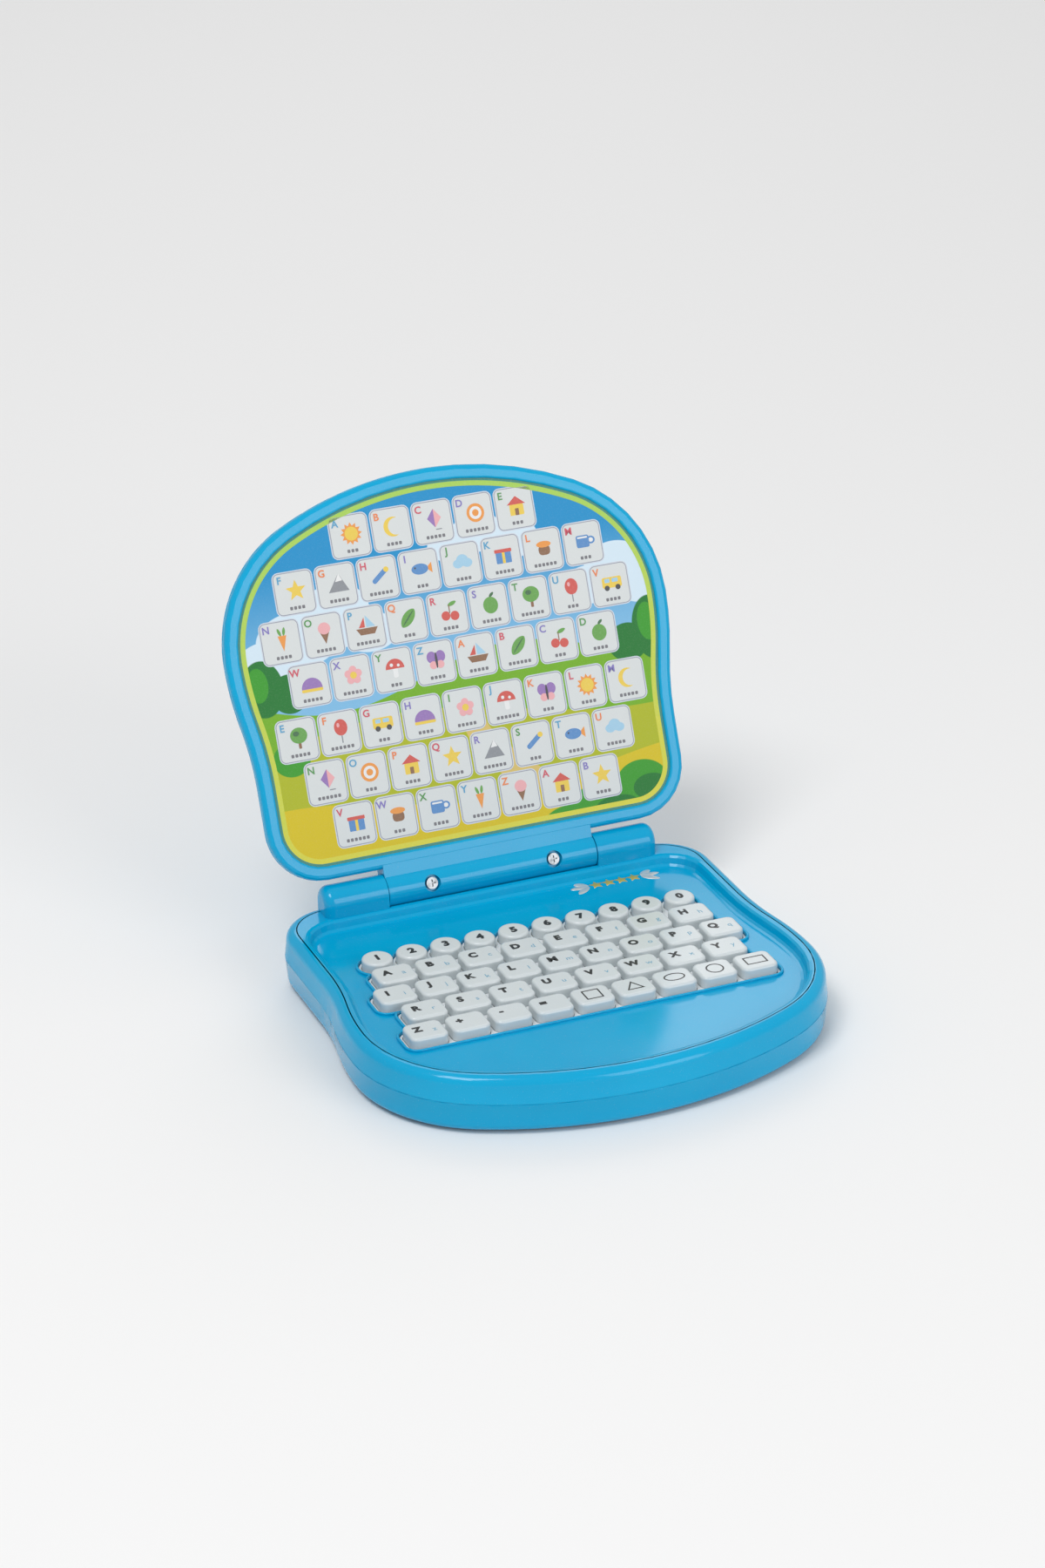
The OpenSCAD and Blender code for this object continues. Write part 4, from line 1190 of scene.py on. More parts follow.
class Motif:
    """Small generic pictures for the tiles, each within 5 mm of its middle."""

    Drawing = list[tuple[Array, Colour]]

    RED = srgb(196, 70, 60)
    ORANGE = srgb(222, 140, 48)
    YELLOW = srgb(222, 190, 60)
    GREEN = srgb(86, 150, 56)
    DARK_GREEN = srgb(44, 96, 52)
    BLUE = srgb(70, 128, 186)
    SKY = srgb(150, 192, 216)
    PURPLE = srgb(138, 104, 170)
    PINK = srgb(222, 160, 164)
    BROWN = srgb(128, 88, 56)
    GREY = srgb(128, 132, 138)
    BLACK = srgb(48, 50, 56)
    WHITE = srgb(220, 221, 221)

    @classmethod
    def all(cls) -> dict[str, "Motif.Drawing"]:
        """Every picture, in the order in which the tiles use them.

        Returns:
            The drawings by name, each from its lowest layer up.
        """
        poly = np.array
        petals = np.arange(5) * math.tau / 5 + 0.3
        crescent = [arc(0, 0, 4, 60, 300, 20), arc(1.4, 0, 3.47, 270, 90, 14)[1:-1]]
        return {
            "sun": [(star(0, 0, 4.6, 3.2, 12), cls.ORANGE), (ellipse(0, 0, 2.8, 2.8), cls.YELLOW)],
            "boat": [
                (poly([[-4.6, -1], [4.6, -1], [3, -3.6], [-3, -3.6]]), cls.BROWN),
                (poly([[-0.2, -0.6], [3.6, -0.6], [-0.2, 4.2]]), cls.SKY),
                (poly([[-0.8, -0.6], [-0.8, 3.4], [-3.4, -0.6]]), cls.RED),
            ],
            "house": [
                (rounded(0, -1.6, 6, 4.4, 0.4), cls.YELLOW),
                (poly([[-4, 0.6], [4, 0.6], [0, 4]]), cls.RED),
                (rounded(0, -2.4, 1.6, 2.8, 0.3), cls.BROWN),
            ],
            "tree": [
                (rounded(0, -2.8, 1.2, 3, 0.3), cls.BROWN),
                (ellipse(0, 1, 3.6, 3.2), cls.GREEN),
                (ellipse(-1, 1.8, 1.3, 1), cls.DARK_GREEN),
            ],
            "fish": [
                (poly([[2.2, 0], [4.6, -2.2], [4.6, 2.2]]), cls.ORANGE),
                (ellipse(-0.6, 0, 3.6, 2.2), cls.BLUE),
                (ellipse(-2.6, 0.6, 0.4, 0.4), cls.BLACK),
            ],
            "flower": [
                (ellipse(2.2 * math.cos(a), 2.2 * math.sin(a), 1.6, 1.6, 14), cls.PINK) for a in petals
            ]
            + [(ellipse(0, 0, 1.4, 1.4), cls.YELLOW)],
            "cup": [
                (ellipse(2.8, 0, 1.8, 1.6), cls.BLUE),
                (ellipse(2.8, 0, 1, 0.9), cls.WHITE),
                (rounded(-0.8, -0.2, 5.6, 5, 0.8), cls.BLUE),
                (rounded(-0.8, 1.4, 4.4, 0.7, 0.3), cls.WHITE),
            ],
            "moon": [(np.concatenate(crescent), cls.YELLOW)],
            "leaf": [(leaf(0, 0, 9, 4.6, 48), cls.GREEN), (leaf(0, 0, 8, 0.6, 48), cls.DARK_GREEN)],
            "star": [(star(0, 0, 4.4, 1.9, 5), cls.YELLOW)],
            "balloon": [
                (rounded(0, -3.6, 0.5, 3, 0.2), cls.GREY),
                (ellipse(0, 1.2, 2.8, 3.3), cls.RED),
                (ellipse(-1, 2.2, 0.6, 0.9), cls.PINK),
            ],
            "cloud": [
                (ellipse(-2, -0.6, 2.2, 1.8), cls.SKY),
                (ellipse(2, -0.6, 2.2, 1.8), cls.SKY),
                (ellipse(0, 0.6, 2.6, 2.4), cls.SKY),
            ],
            "mushroom": [
                (rounded(0, -2, 2, 4, 0.7), cls.WHITE),
                (arc(0, -0.4, 4, 0, 180, 14), cls.RED),
                (ellipse(-1.4, 1.2, 0.7, 0.7), cls.WHITE),
                (ellipse(1.5, 0.8, 0.6, 0.6), cls.WHITE),
            ],
            "carrot": [
                (leaf(1, 3.4, 3.4, 1.2, 80), cls.GREEN),
                (leaf(-1, 3.2, 3.4, 1.2, 110), cls.GREEN),
                (poly([[-1.8, 1.8], [0, -4.4], [1.8, 1.8]]), cls.ORANGE),
            ],
            "kite": [
                (poly([[0, 4.4], [-3, 0.6], [0, -3.2], [3, 0.6]]), cls.PURPLE),
                (poly([[0, 4.4], [0, -3.2], [3, 0.6]])[::-1], cls.PINK),
                (rounded(1.4, -4, 2.6, 0.4, 0.2), cls.GREY),
            ],
            "cherries": [
                (ellipse(-1.8, -1.8, 1.9, 1.9), cls.RED),
                (ellipse(2, -2.2, 1.9, 1.9), cls.RED),
                (leaf(1.4, 2.8, 4, 1.6, 20), cls.GREEN),
                (rounded(0, 0.8, 0.4, 3.4, 0.15), cls.BROWN),
            ],
            "mountain": [
                (poly([[-4.4, -3.4], [4.4, -3.4], [0.6, 3.8]]), cls.GREY),
                (poly([[-1.1, 0.6], [1.9, 0.9], [0.6, 3.8]]), cls.WHITE),
            ],
            "bus": [
                (rounded(0, 0, 8.6, 4.4, 0.8), cls.YELLOW),
                (rounded(-2, 0.8, 2.2, 1.6, 0.3), cls.SKY),
                (rounded(1.4, 0.8, 2.6, 1.6, 0.3), cls.SKY),
                (ellipse(-2.4, -2.2, 1.1, 1.1, 16), cls.BLACK),
                (ellipse(2.4, -2.2, 1.1, 1.1, 16), cls.BLACK),
            ],
            "gift": [
                (rounded(0, -0.8, 6.6, 5.4, 0.4), cls.BLUE),
                (rounded(0, -0.8, 1.2, 5.4, 0.2), cls.YELLOW),
                (rounded(0, 1.6, 7.4, 1.4, 0.3), cls.RED),
            ],
            "butterfly": [
                (ellipse(-1.9, 1.4, 2.1, 2.4), cls.PURPLE),
                (ellipse(1.9, 1.4, 2.1, 2.4), cls.PURPLE),
                (ellipse(-1.5, -1.8, 1.6, 1.6), cls.PINK),
                (ellipse(1.5, -1.8, 1.6, 1.6), cls.PINK),
                (ellipse(0, 0, 0.5, 3.2), cls.BLACK),
            ],
            "ice_cream": [
                (poly([[-2, 0.4], [0, -4.4], [2, 0.4]]), cls.BROWN),
                (ellipse(0, 1.8, 2.6, 2.4), cls.PINK),
            ],
            "target": [
                (ellipse(0, 0, r, r), ink)
                for r, ink in ((3.8, cls.ORANGE), (2.6, cls.WHITE), (1.4, cls.ORANGE))
            ],
            "apple": [
                (ellipse(0, -0.6, 3.2, 3.4), cls.GREEN),
                (leaf(0.9, 3.6, 2.6, 1.2, 40), cls.DARK_GREEN),
            ],
            "pencil": [
                (rounded(0, 0, 8, 2, 0.9, 3) @ turn_matrix(38).T, cls.BLUE),
                (ellipse(3, 2.3, 1.1, 1.1), cls.YELLOW),
            ],
            "hat": [
                (arc(0, -2.4, 4.4, 0, 180, 14), cls.PURPLE),
                (rounded(0, -3, 9, 1.2, 0.5), cls.YELLOW),
            ],
            "acorn": [
                (rounded(0, -1, 5, 4, 1.6), cls.BROWN),
                (ellipse(0, 1.4, 3.2, 1.3), cls.ORANGE),
            ],
        }


@dataclass
class PictureCard:
    """The print on the lid's card: a painted shadow line along the frame, a pale border line and rows of
    picture tiles.
    """

    plane: LidPlane = field(default_factory=LidPlane)
    outline: ShellOutline = field(default_factory=ShellOutline)
    face: float = 3.2
    bite: float = 0.05
    ink_t: float = 0.06
    layer_t: float = 0.02
    edge_from: float = 6.35
    border_from: float = 7.5
    border_to: float = 9.8
    border_fade: float = 1.2
    pitch: float = 20.0
    tile_w: float = 18.3
    tile_h: float = 18.9
    tile_r: float = 2.6
    halo: float = 0.45
    line: float = 0.4
    picture_scale: float = 1.12
    picture_at: tuple[float, float] = (0.9, 0.9)
    letter_size: float = 4.6
    letter_weight: float = 0.02
    letter_rise: float = 0.14
    letter_inset: tuple[float, float] = (2.9, 3.2)
    mark_w: float = 1.35
    mark_h: float = 1.5
    mark_r: float = 0.3
    mark_pitch: float = 1.9
    mark_shift: float = 0.4
    mark_up: float = 2.7
    fewest_marks: int = 3
    mark_counts: int = 4
    picture_stride: int = 7
    ink_stride: int = 3
    mark_stride: int = 5
    rows: tuple[tuple[float, int], ...] = (
        (159.95, 5), (139.1, 8), (118.25, 9), (97.4, 8), (74.1, 9), (53.25, 8), (32.4, 7),
    )
    letter_inks: tuple[Colour, ...] = (
        srgb(70, 150, 190),
        srgb(196, 70, 90),
        srgb(70, 140, 70),
        srgb(222, 120, 60),
        srgb(120, 110, 180),
    )
    caption_ink: Colour = srgb(104, 104, 110)
    border_high: Colour = srgb(156, 196, 66)
    border_low: Colour = srgb(208, 198, 30)
    # Painted shadow: the dark teal that the frame's recess wall casts along the card's edge.
    recess_shadow_ink: Colour = srgb(22, 124, 112)
    tile_ink: Colour = srgb(203, 207, 207)
    halo_ink: Colour = srgb(196, 204, 214)
    line_ink: Colour = srgb(142, 146, 160)

    def centres(self) -> Array:
        """The tiles' centres: each row is spaced by the pitch about x = 0.

        Returns:
            Points (x, v), row by row from the far one.
        """
        rows = [
            np.column_stack([(np.arange(n) - (n - 1) / 2) * self.pitch, np.full(n, v)])
            for v, n in self.rows
        ]
        return np.concatenate(rows)

    def build(self, type_case: Type, ink: bpy.types.Material) -> None:
        """Makes the border, the tiles, their pictures, letters and captions.

        Neighbouring tiles take pictures, inks and numbers of marks that lie a stride apart.

        Args:
            type_case: The glyphs.
            ink: The printed finish.
        """
        low, top = self.face - self.bite, self.face + self.ink_t
        places = self.centres()
        plates = (
            ("tile_halos", self.halo, top - 2 * self.layer_t, self.halo_ink),
            ("tile_rims", 0.0, top - self.layer_t, self.line_ink),
            ("picture_tiles", -self.line, top, self.tile_ink),
        )
        # The border piece holds the pale line and the painted shadow line along the frame.
        self.add("card_border_and_painted_shadow", self.border(low, top), ink)
        for name, extra, high, colour in plates:
            self.add(name, self.tiles(places, extra, low, high, colour), ink)
        drawings = list(Motif.all().values())
        alphabet = string.ascii_uppercase
        pictures, letters, captions = [], [], []
        for i, at in enumerate(places):
            drawing = drawings[(i * self.picture_stride + i // len(alphabet)) % len(drawings)]
            letter_ink = self.letter_inks[(i * self.ink_stride) % len(self.letter_inks)]
            marks = self.fewest_marks + (i * self.mark_stride) % self.mark_counts
            pictures += self.picture(drawing, at, low, top)
            letters.append(self.letter(type_case, alphabet[i % len(alphabet)], at, top, letter_ink))
            captions += self.caption(*at, marks, top)
        self.add("tile_pictures", pictures, ink)
        self.add("tile_letters", letters, ink)
        self.add("tile_captions", captions, ink)

    def border(self, low: float, top: float) -> list[Patch]:
        """A painted shadow line along the frame, standing in for the shade of the recess wall, and a pale
        line inside it, greener the higher it lies.

        The pale line's ink is a blend of its two colours by the height v of each face, as a share
        of the lid's reach.

        Args:
            low: Height of the under faces.
            top: Height of the upper faces.

        Returns:
            The two lines.
        """
        edge = self.outline.points
        pale = ring(edge(self.border_from), edge(self.border_to), low, top, self.border_low)
        firsts = np.concatenate([[0], np.cumsum(pale.counts)[:-1]])
        heights = pale.points[pale.corners[firsts], 1:2]
        share = np.clip(heights / self.outline.far * self.border_fade, 0.0, 1.0)
        pale.inks = share * self.border_high + (1 - share) * np.array(self.border_low)
        # The dark ring is painted shadow from the frame's recess wall, not a printed line.
        dark = ring(edge(self.edge_from), edge(self.border_from), low, top, self.recess_shadow_ink)
        return [pale, dark]

    def tiles(self, places: Array, extra: float, low: float, high: float, ink: Colour) -> list[Patch]:
        """One rounded plate on every tile's place, wider than a tile by extra on each side."""
        w, h = self.tile_w + 2 * extra, self.tile_h + 2 * extra
        return [slab(rounded(x, v, w, h, self.tile_r + extra), low, high, ink) for x, v in places]

    def picture(self, drawing: Motif.Drawing, at: Array, low: float, top: float) -> list[Patch]:
        """A tile's picture, each of its layers a little higher than the last.

        Args:
            drawing: The outlines and inks.
            at: The tile's centre.
            low: Height of the under faces.
            top: Height of the tile's face.

        Returns:
            The layers.
        """
        middle = at + self.picture_at
        return [
            slab(shape * self.picture_scale + middle, low, top + (j + 1) * self.layer_t, colour)
            for j, (shape, colour) in enumerate(drawing)
        ]

    def letter(self, type_case: Type, sign: str, at: Array, top: float, ink: Colour) -> Patch:
        """The letter in a tile's far left corner.

        Args:
            type_case: The glyphs.
            sign: The letter.
            at: The tile's centre.
            top: Height of the tile's face.
            ink: Its colour.

        Returns:
            The letter's plate.
        """
        corner = at + (-self.tile_w / 2, self.tile_h / 2)
        middle = corner + (self.letter_inset[0], -self.letter_inset[1])
        low, high = top - self.layer_t, top + self.letter_rise
        return type_case.plate(sign, self.letter_size, self.letter_weight, middle, low, high, ink)

    def caption(self, x: float, v: float, marks: int, top: float) -> list[Patch]:
        """A row of short plain marks under a picture.

        Args:
            x: The tile's centre, across.
            v: The tile's centre, along the reach.
            marks: Number of marks.
            top: Height of the tile's face.

        Returns:
            The marks.
        """
        xs = x + self.mark_shift + (np.arange(marks) - (marks - 1) / 2) * self.mark_pitch
        foot = v - self.tile_h / 2 + self.mark_up
        low, high = top - self.layer_t, top + self.layer_t
        shapes = [rounded(cx, foot, self.mark_w, self.mark_h, self.mark_r, 2) for cx in xs]
        return [slab(shape, low, high, self.caption_ink) for shape in shapes]

    def add(self, name: str, patches: list[Patch], ink: bpy.types.Material) -> None:
        """Joins patches drawn in the lid's plane into one piece on the lid."""
        make_piece(name, Patch.join(patches).moved(self.plane.place), ink, Body.LID.value, Slot.CARD)


@dataclass
class LidBackSkin:
    """The smooth outer skin of the lid's domed back."""

    plane: LidPlane = field(default_factory=LidPlane)
    outline: ShellOutline = field(default_factory=ShellOutline)
    edge_r: float = 4.7
    dome: float = 2.8
    curve_r: float = 19.8
    proud: float = 0.1
    seam_tuck: float = 0.5
    thick: float = 0.7
    middle_share: float = 0.2
    steps: int = 8

    def sections(self, sink: float) -> Array:
        """The skin's outlines from the seam to the flat middle, sunk by a distance.

        The edge is a quarter circle: inset r * (1 - sin a) and depth r * cos a. The dome is a
        quarter ellipse: inset r + curve_r * (1 - sin a) and depth r + dome * cos a.

        Args:
            sink: How far the outlines lie under the skin's own face.

        Returns:
            An array of outlines, each an array of points (x, v, w).
        """
        a = np.radians(np.linspace(90.0, 0.0, self.steps + 1))
        edge, rest = self.edge_r * (1 - np.sin(a)), self.curve_r * (1 - np.sin(a[1:]))
        insets = np.concatenate([edge, self.edge_r + rest])
        depths = np.concatenate([self.edge_r * np.cos(a), self.edge_r + self.dome * np.cos(a[1:])])
        rise = self.proud * np.linspace(-self.seam_tuck, 1.0, len(insets)) - sink
        side = sink * np.linspace(1.0, self.middle_share, len(insets))
        flat = [self.outline.points(inset) for inset in insets + side]
        levels = -(depths + rise)
        return np.stack([np.column_stack([f, np.full(len(f), w)]) for f, w in zip(flat, levels)])

    def build(self, plastic: bpy.types.Material) -> None:
        """Joins the outer sections to the sunk ones and fans each middle from its centre.

        Args:
            plastic: The shell's finish.
        """
        outer, inner = self.sections(0.0), self.sections(self.thick)
        rings, n = 2 * len(outer), outer.shape[1]
        stack = np.concatenate([outer[::-1], inner])
        middles = np.stack([stack[0].mean(axis=0), stack[-1].mean(axis=0)])
        points = np.concatenate([stack.reshape(-1, 3), middles])
        i, j = np.meshgrid(np.arange(rings - 1), np.arange(n), indexing="ij")
        k = (j + 1) % n
        quads = np.stack([i * n + j, i * n + k, (i + 1) * n + k, (i + 1) * n + j], axis=-1).reshape(-1, 4)
        j = np.arange(n)
        k = (j + 1) % n
        first = np.column_stack([k, j, np.full(n, rings * n)])
        last = np.column_stack([j + (rings - 1) * n, k + (rings - 1) * n, np.full(n, rings * n + 1)])
        corners = np.concatenate([quads.ravel(), first.ravel(), last.ravel()])
        counts = np.concatenate([np.full(len(quads), 4), np.full(2 * n, 3)])
        patch = Patch(points, corners, counts, np.tile(UNPRINTED, (len(counts), 1)))
        patch = patch.moved(self.plane.place)
        make_piece("lid_back_skin", patch, plastic, Body.LID.value, Slot.SHELL, smooth=True)


@dataclass
class LidRelief:
    """The raised rosette on the lid's back, in place of any badge."""

    plane: LidPlane = field(default_factory=LidPlane)
    centre_v: float = 97.0
    back: float = -7.6
    bead_r: float = 1.1
    sink: float = 0.35
    petals: int = 6
    radius: float = 40.0
    eye_share: float = 0.30
    petal_share: float = 0.62
    petal_swing: float = 0.2
    steps: int = 240

    def build(self, plastic: bpy.types.Material) -> None:
        """Makes two rings and the petals: r = radius * (share + swing * cos(petals * a)).

        Args:
            plastic: The shell's finish.
        """
        a = np.linspace(0.0, math.tau, self.steps, endpoint=False)
        level = np.full(len(a), self.back + self.sink)
        petals = self.petal_share + self.petal_swing * np.cos(self.petals * a)
        lines = []
        for share in (np.ones(len(a)), np.full(len(a), self.eye_share), petals):
            reach = self.radius * share
            path = np.column_stack([reach * np.cos(a), self.centre_v + reach * np.sin(a), level])
            lines.append(bead(path, self.bead_r, UNPRINTED))
        patch = Patch.join(lines).moved(self.plane.place)
        make_piece("lid_back_relief", patch, plastic, Body.LID.value, Slot.SHELL, smooth=True)


# --- The base ------------------------------------------------------------------------------


@dataclass
class BaseSkin:
    """The smooth outer skin of the base's two halves, which part at the seam."""

    outline: ShellOutline = ShellOutline(half_w=103.3, bulge=109.0, near=-7.9, far=186.5)
    hinge_y: float = HINGE[1]
    hinge_z: float = HINGE[2]
    seam: float = 15.0
    seam_gap: float = 0.16
    seam_inset: float = 0.1
    foot: float = 1.2
    under_r: float = 4.0
    rim: float = 27.2
    rim_r: float = 4.5
    lean: float = 0.8
    proud: float = 0.08
    end_tuck: float = 0.6
    thick: float = 0.6
    steps: int = 9
    trough_r: float = 8.3
    trough_half: float = 51.2
    trough_end: float = 0.08

    def lower_half(self) -> tuple[Array, Array]:
        """The lower half's insets and heights, from its foot up to the seam.

        Its edge is a quarter circle: inset lean + r * (1 - sin a), height foot + r * (1 - cos a).

        Returns:
            The insets and the heights.
        """
        a = np.radians(np.linspace(0.0, 90.0, self.steps))
        insets = self.lean + self.under_r * (1 - np.sin(a))
        heights = self.foot + self.under_r * (1 - np.cos(a))
        seam = self.seam - self.seam_gap * np.array([3.0, 1.5, 1.0])
        return np.append(insets, [self.seam_inset, 0.0, self.seam_inset]), np.append(heights, seam)

    def upper_half(self) -> tuple[Array, Array]:
        """The upper half's insets and heights, from the seam up to its rim.

        Its edge is a quarter circle: inset lean + r * (1 - cos a), height rim - r * (1 - sin a).

        Returns:
            The insets and the heights.
        """
        a = np.radians(np.linspace(0.0, 90.0, self.steps))
        insets = self.lean + self.rim_r * (1 - np.cos(a))
        heights = self.rim - self.rim_r * (1 - np.sin(a))
        seam = self.seam + self.seam_gap * np.array([1.0, 1.5, 3.0])
        return np.insert(insets, 0, [self.seam_inset, 0.0, self.seam_inset]), np.insert(heights, 0, seam)

    def build(self, plastic: bpy.types.Material) -> None:
        """Carries each half's section round the outline, a little proud and then sunk.

        The section's end that meets the CAD's edge is tucked under it.

        Args:
            plastic: The shell's finish.
        """
        halves = (("base_lower_skin", self.lower_half(), 0), ("base_upper_skin", self.upper_half(), -1))
        for name, (insets, heights), end in halves:
            shares = np.ones(len(insets))
            shares[end] = -self.end_tuck
            outer = [(i - self.proud * e, z) for i, z, e in zip(insets, heights, shares)]
            inner = [(i + self.thick, z) for i, z in zip(insets[::-1], heights[::-1])]
            patch = band(np.stack([self.ring(*at) for at in outer + inner]), UNPRINTED)
            make_piece(name, patch, plastic, Body.BASE.value, Slot.SHELL, smooth=True)

    def ring(self, inset: float, z: float) -> Array:
        """The outline at one height, kept clear of the barrel's trough.

        Four points stand on the back edge at the trough's ends. A point between the ends that is
        nearer to the hinge's axis than the trough's radius moves straight out to it.

        Args:
            inset: How far the outline is moved inwards.
            z: Its height.

        Returns:
            The points in the part's frame.
        """
        flat = self.outline.points(inset)
        ends = self.trough_half + np.array([self.trough_end, 0.0])
        xs = np.concatenate([-ends, ends[::-1]])
        flat = np.concatenate([flat, np.column_stack([xs, np.full(4, flat[0, 1])])])
        reach = np.column_stack([-flat[:, 1], np.full(len(flat), z - self.hinge_z)])
        far = np.linalg.norm(reach, axis=1, keepdims=True)
        inside = (np.abs(flat[:, :1]) <= self.trough_half) & (far < self.trough_r)
        reach = np.where(inside, reach * self.trough_r / far, reach)
        return np.column_stack([-flat[:, 0], reach + (self.hinge_y, self.hinge_z)])


@dataclass
class KeyboardLip:
    """The rounded crest of the lip round the keys: arcs about the round keys and the rows."""

    hinge_y: float = HINGE[1]
    level: float = 22.62
    bead_r: float = 0.64
    margin: float = 2.2
    step: float = 0.8
    steps: int = 12
    round_keys: int = 10
    round_key_r: float = 6.9
    round_pitch: float = 16.2
    round_reach: float = 49.0
    key_half_d: float = 7.4
    key_corner_r: float = 3.4
    rows: tuple[tuple[float, float], ...] = ((118.8, 86.2), (101.0, 80.1), (83.2, 86.2), (65.4, 80.1))

    def row_arcs(self) -> list[list[float]]:
        """The right ends of the rows: two corner arcs each, cut where the next row's edge meets them.

        Returns:
            Arcs from the front row back, each as centre x, centre y, radius, start and end angle.
        """
        r = self.key_corner_r + self.margin
        flank = self.key_half_d + self.margin - r
        row_pitch = self.rows[0][0] - self.rows[1][0]
        cut = math.degrees(math.asin((row_pitch - 2 * flank - r) / r))
        widest = max(half_w for _, half_w in self.rows)
        arcs = []
        for reach, half_w in self.rows:
            turn = 90.0 if half_w == widest else cut
            x = half_w + self.margin - r
            arcs.append([x, -reach - flank, r, -turn, 0.0])
            arcs.append([x, -reach + flank, r, 0.0, turn])
        return arcs

    def path(self) -> Array:
        """The lip's middle line, anticlockwise from the front edge's middle.

        The right half runs back along the rows' arcs and then along the round keys' arcs. Two
        arcs part where their circles cross, which the law of cosines gives.

        Returns:
            Points in the part's frame, evenly spaced.
        """
        arcs = self.row_arcs()
        last_row = arcs[-1]
        r, big = last_row[2], self.round_key_r + self.margin
        corner = ((self.round_keys - 1) / 2 * self.round_pitch, -self.round_reach)
        gap = (last_row[0] - corner[0], last_row[1] - corner[1])
        far = math.hypot(*gap)
        toward = math.degrees(math.atan2(gap[1], gap[0]))
        cosine = (big**2 + far**2 - r**2) / (2 * big * far)
        leave = toward + math.degrees(math.acos(cosine))
        cosine = (r**2 + far**2 - big**2) / (2 * r * far)
        last_row[4] = toward + 180.0 - math.degrees(math.acos(cosine))
        between = math.degrees(math.acos(self.round_pitch / 2 / big))
        for i in range(self.round_keys // 2):
            start = leave if i == 0 else between
            arcs.append([corner[0] - i * self.round_pitch, corner[1], big, start, 180.0 - between])
        right = np.concatenate([arc(*a, self.steps) for a in arcs])
        return self.spaced(np.concatenate([right, right[::-1] * (-1.0, 1.0), right[:1]]))

    def spaced(self, closed: Array) -> Array:
        """Spreads points evenly along a closed path by their distance run.

        Args:
            closed: The path's points (x, y) from the hinge, the first one repeated at its end.

        Returns:
            Points a step apart, in the part's frame.
        """
        run = np.concatenate([[0.0], np.cumsum(np.linalg.norm(np.diff(closed, axis=0), axis=1))])
        at = np.arange(0.0, run[-1] - self.step / 2, self.step)
        x, y = (np.interp(at, run, closed[:, k]) for k in range(2))
        return np.column_stack([x, y + self.hinge_y, np.full(len(at), self.level)])

    def build(self, plastic: bpy.types.Material) -> None:
        """Carries a round bead along the path.

        Args:
            plastic: The shell's finish.
        """
        crest = bead(self.path(), self.bead_r, UNPRINTED)
        make_piece("keyboard_lip", crest, plastic, Body.BASE.value, Slot.SHELL, smooth=True)


class KeyShape(Enum):
    """The shapes that are printed on the last keys."""

    SQUARE = "square"
    TRIANGLE = "triangle"
    ELLIPSE = "ellipse"
    CIRCLE = "circle"
    RECTANGLE = "rectangle"


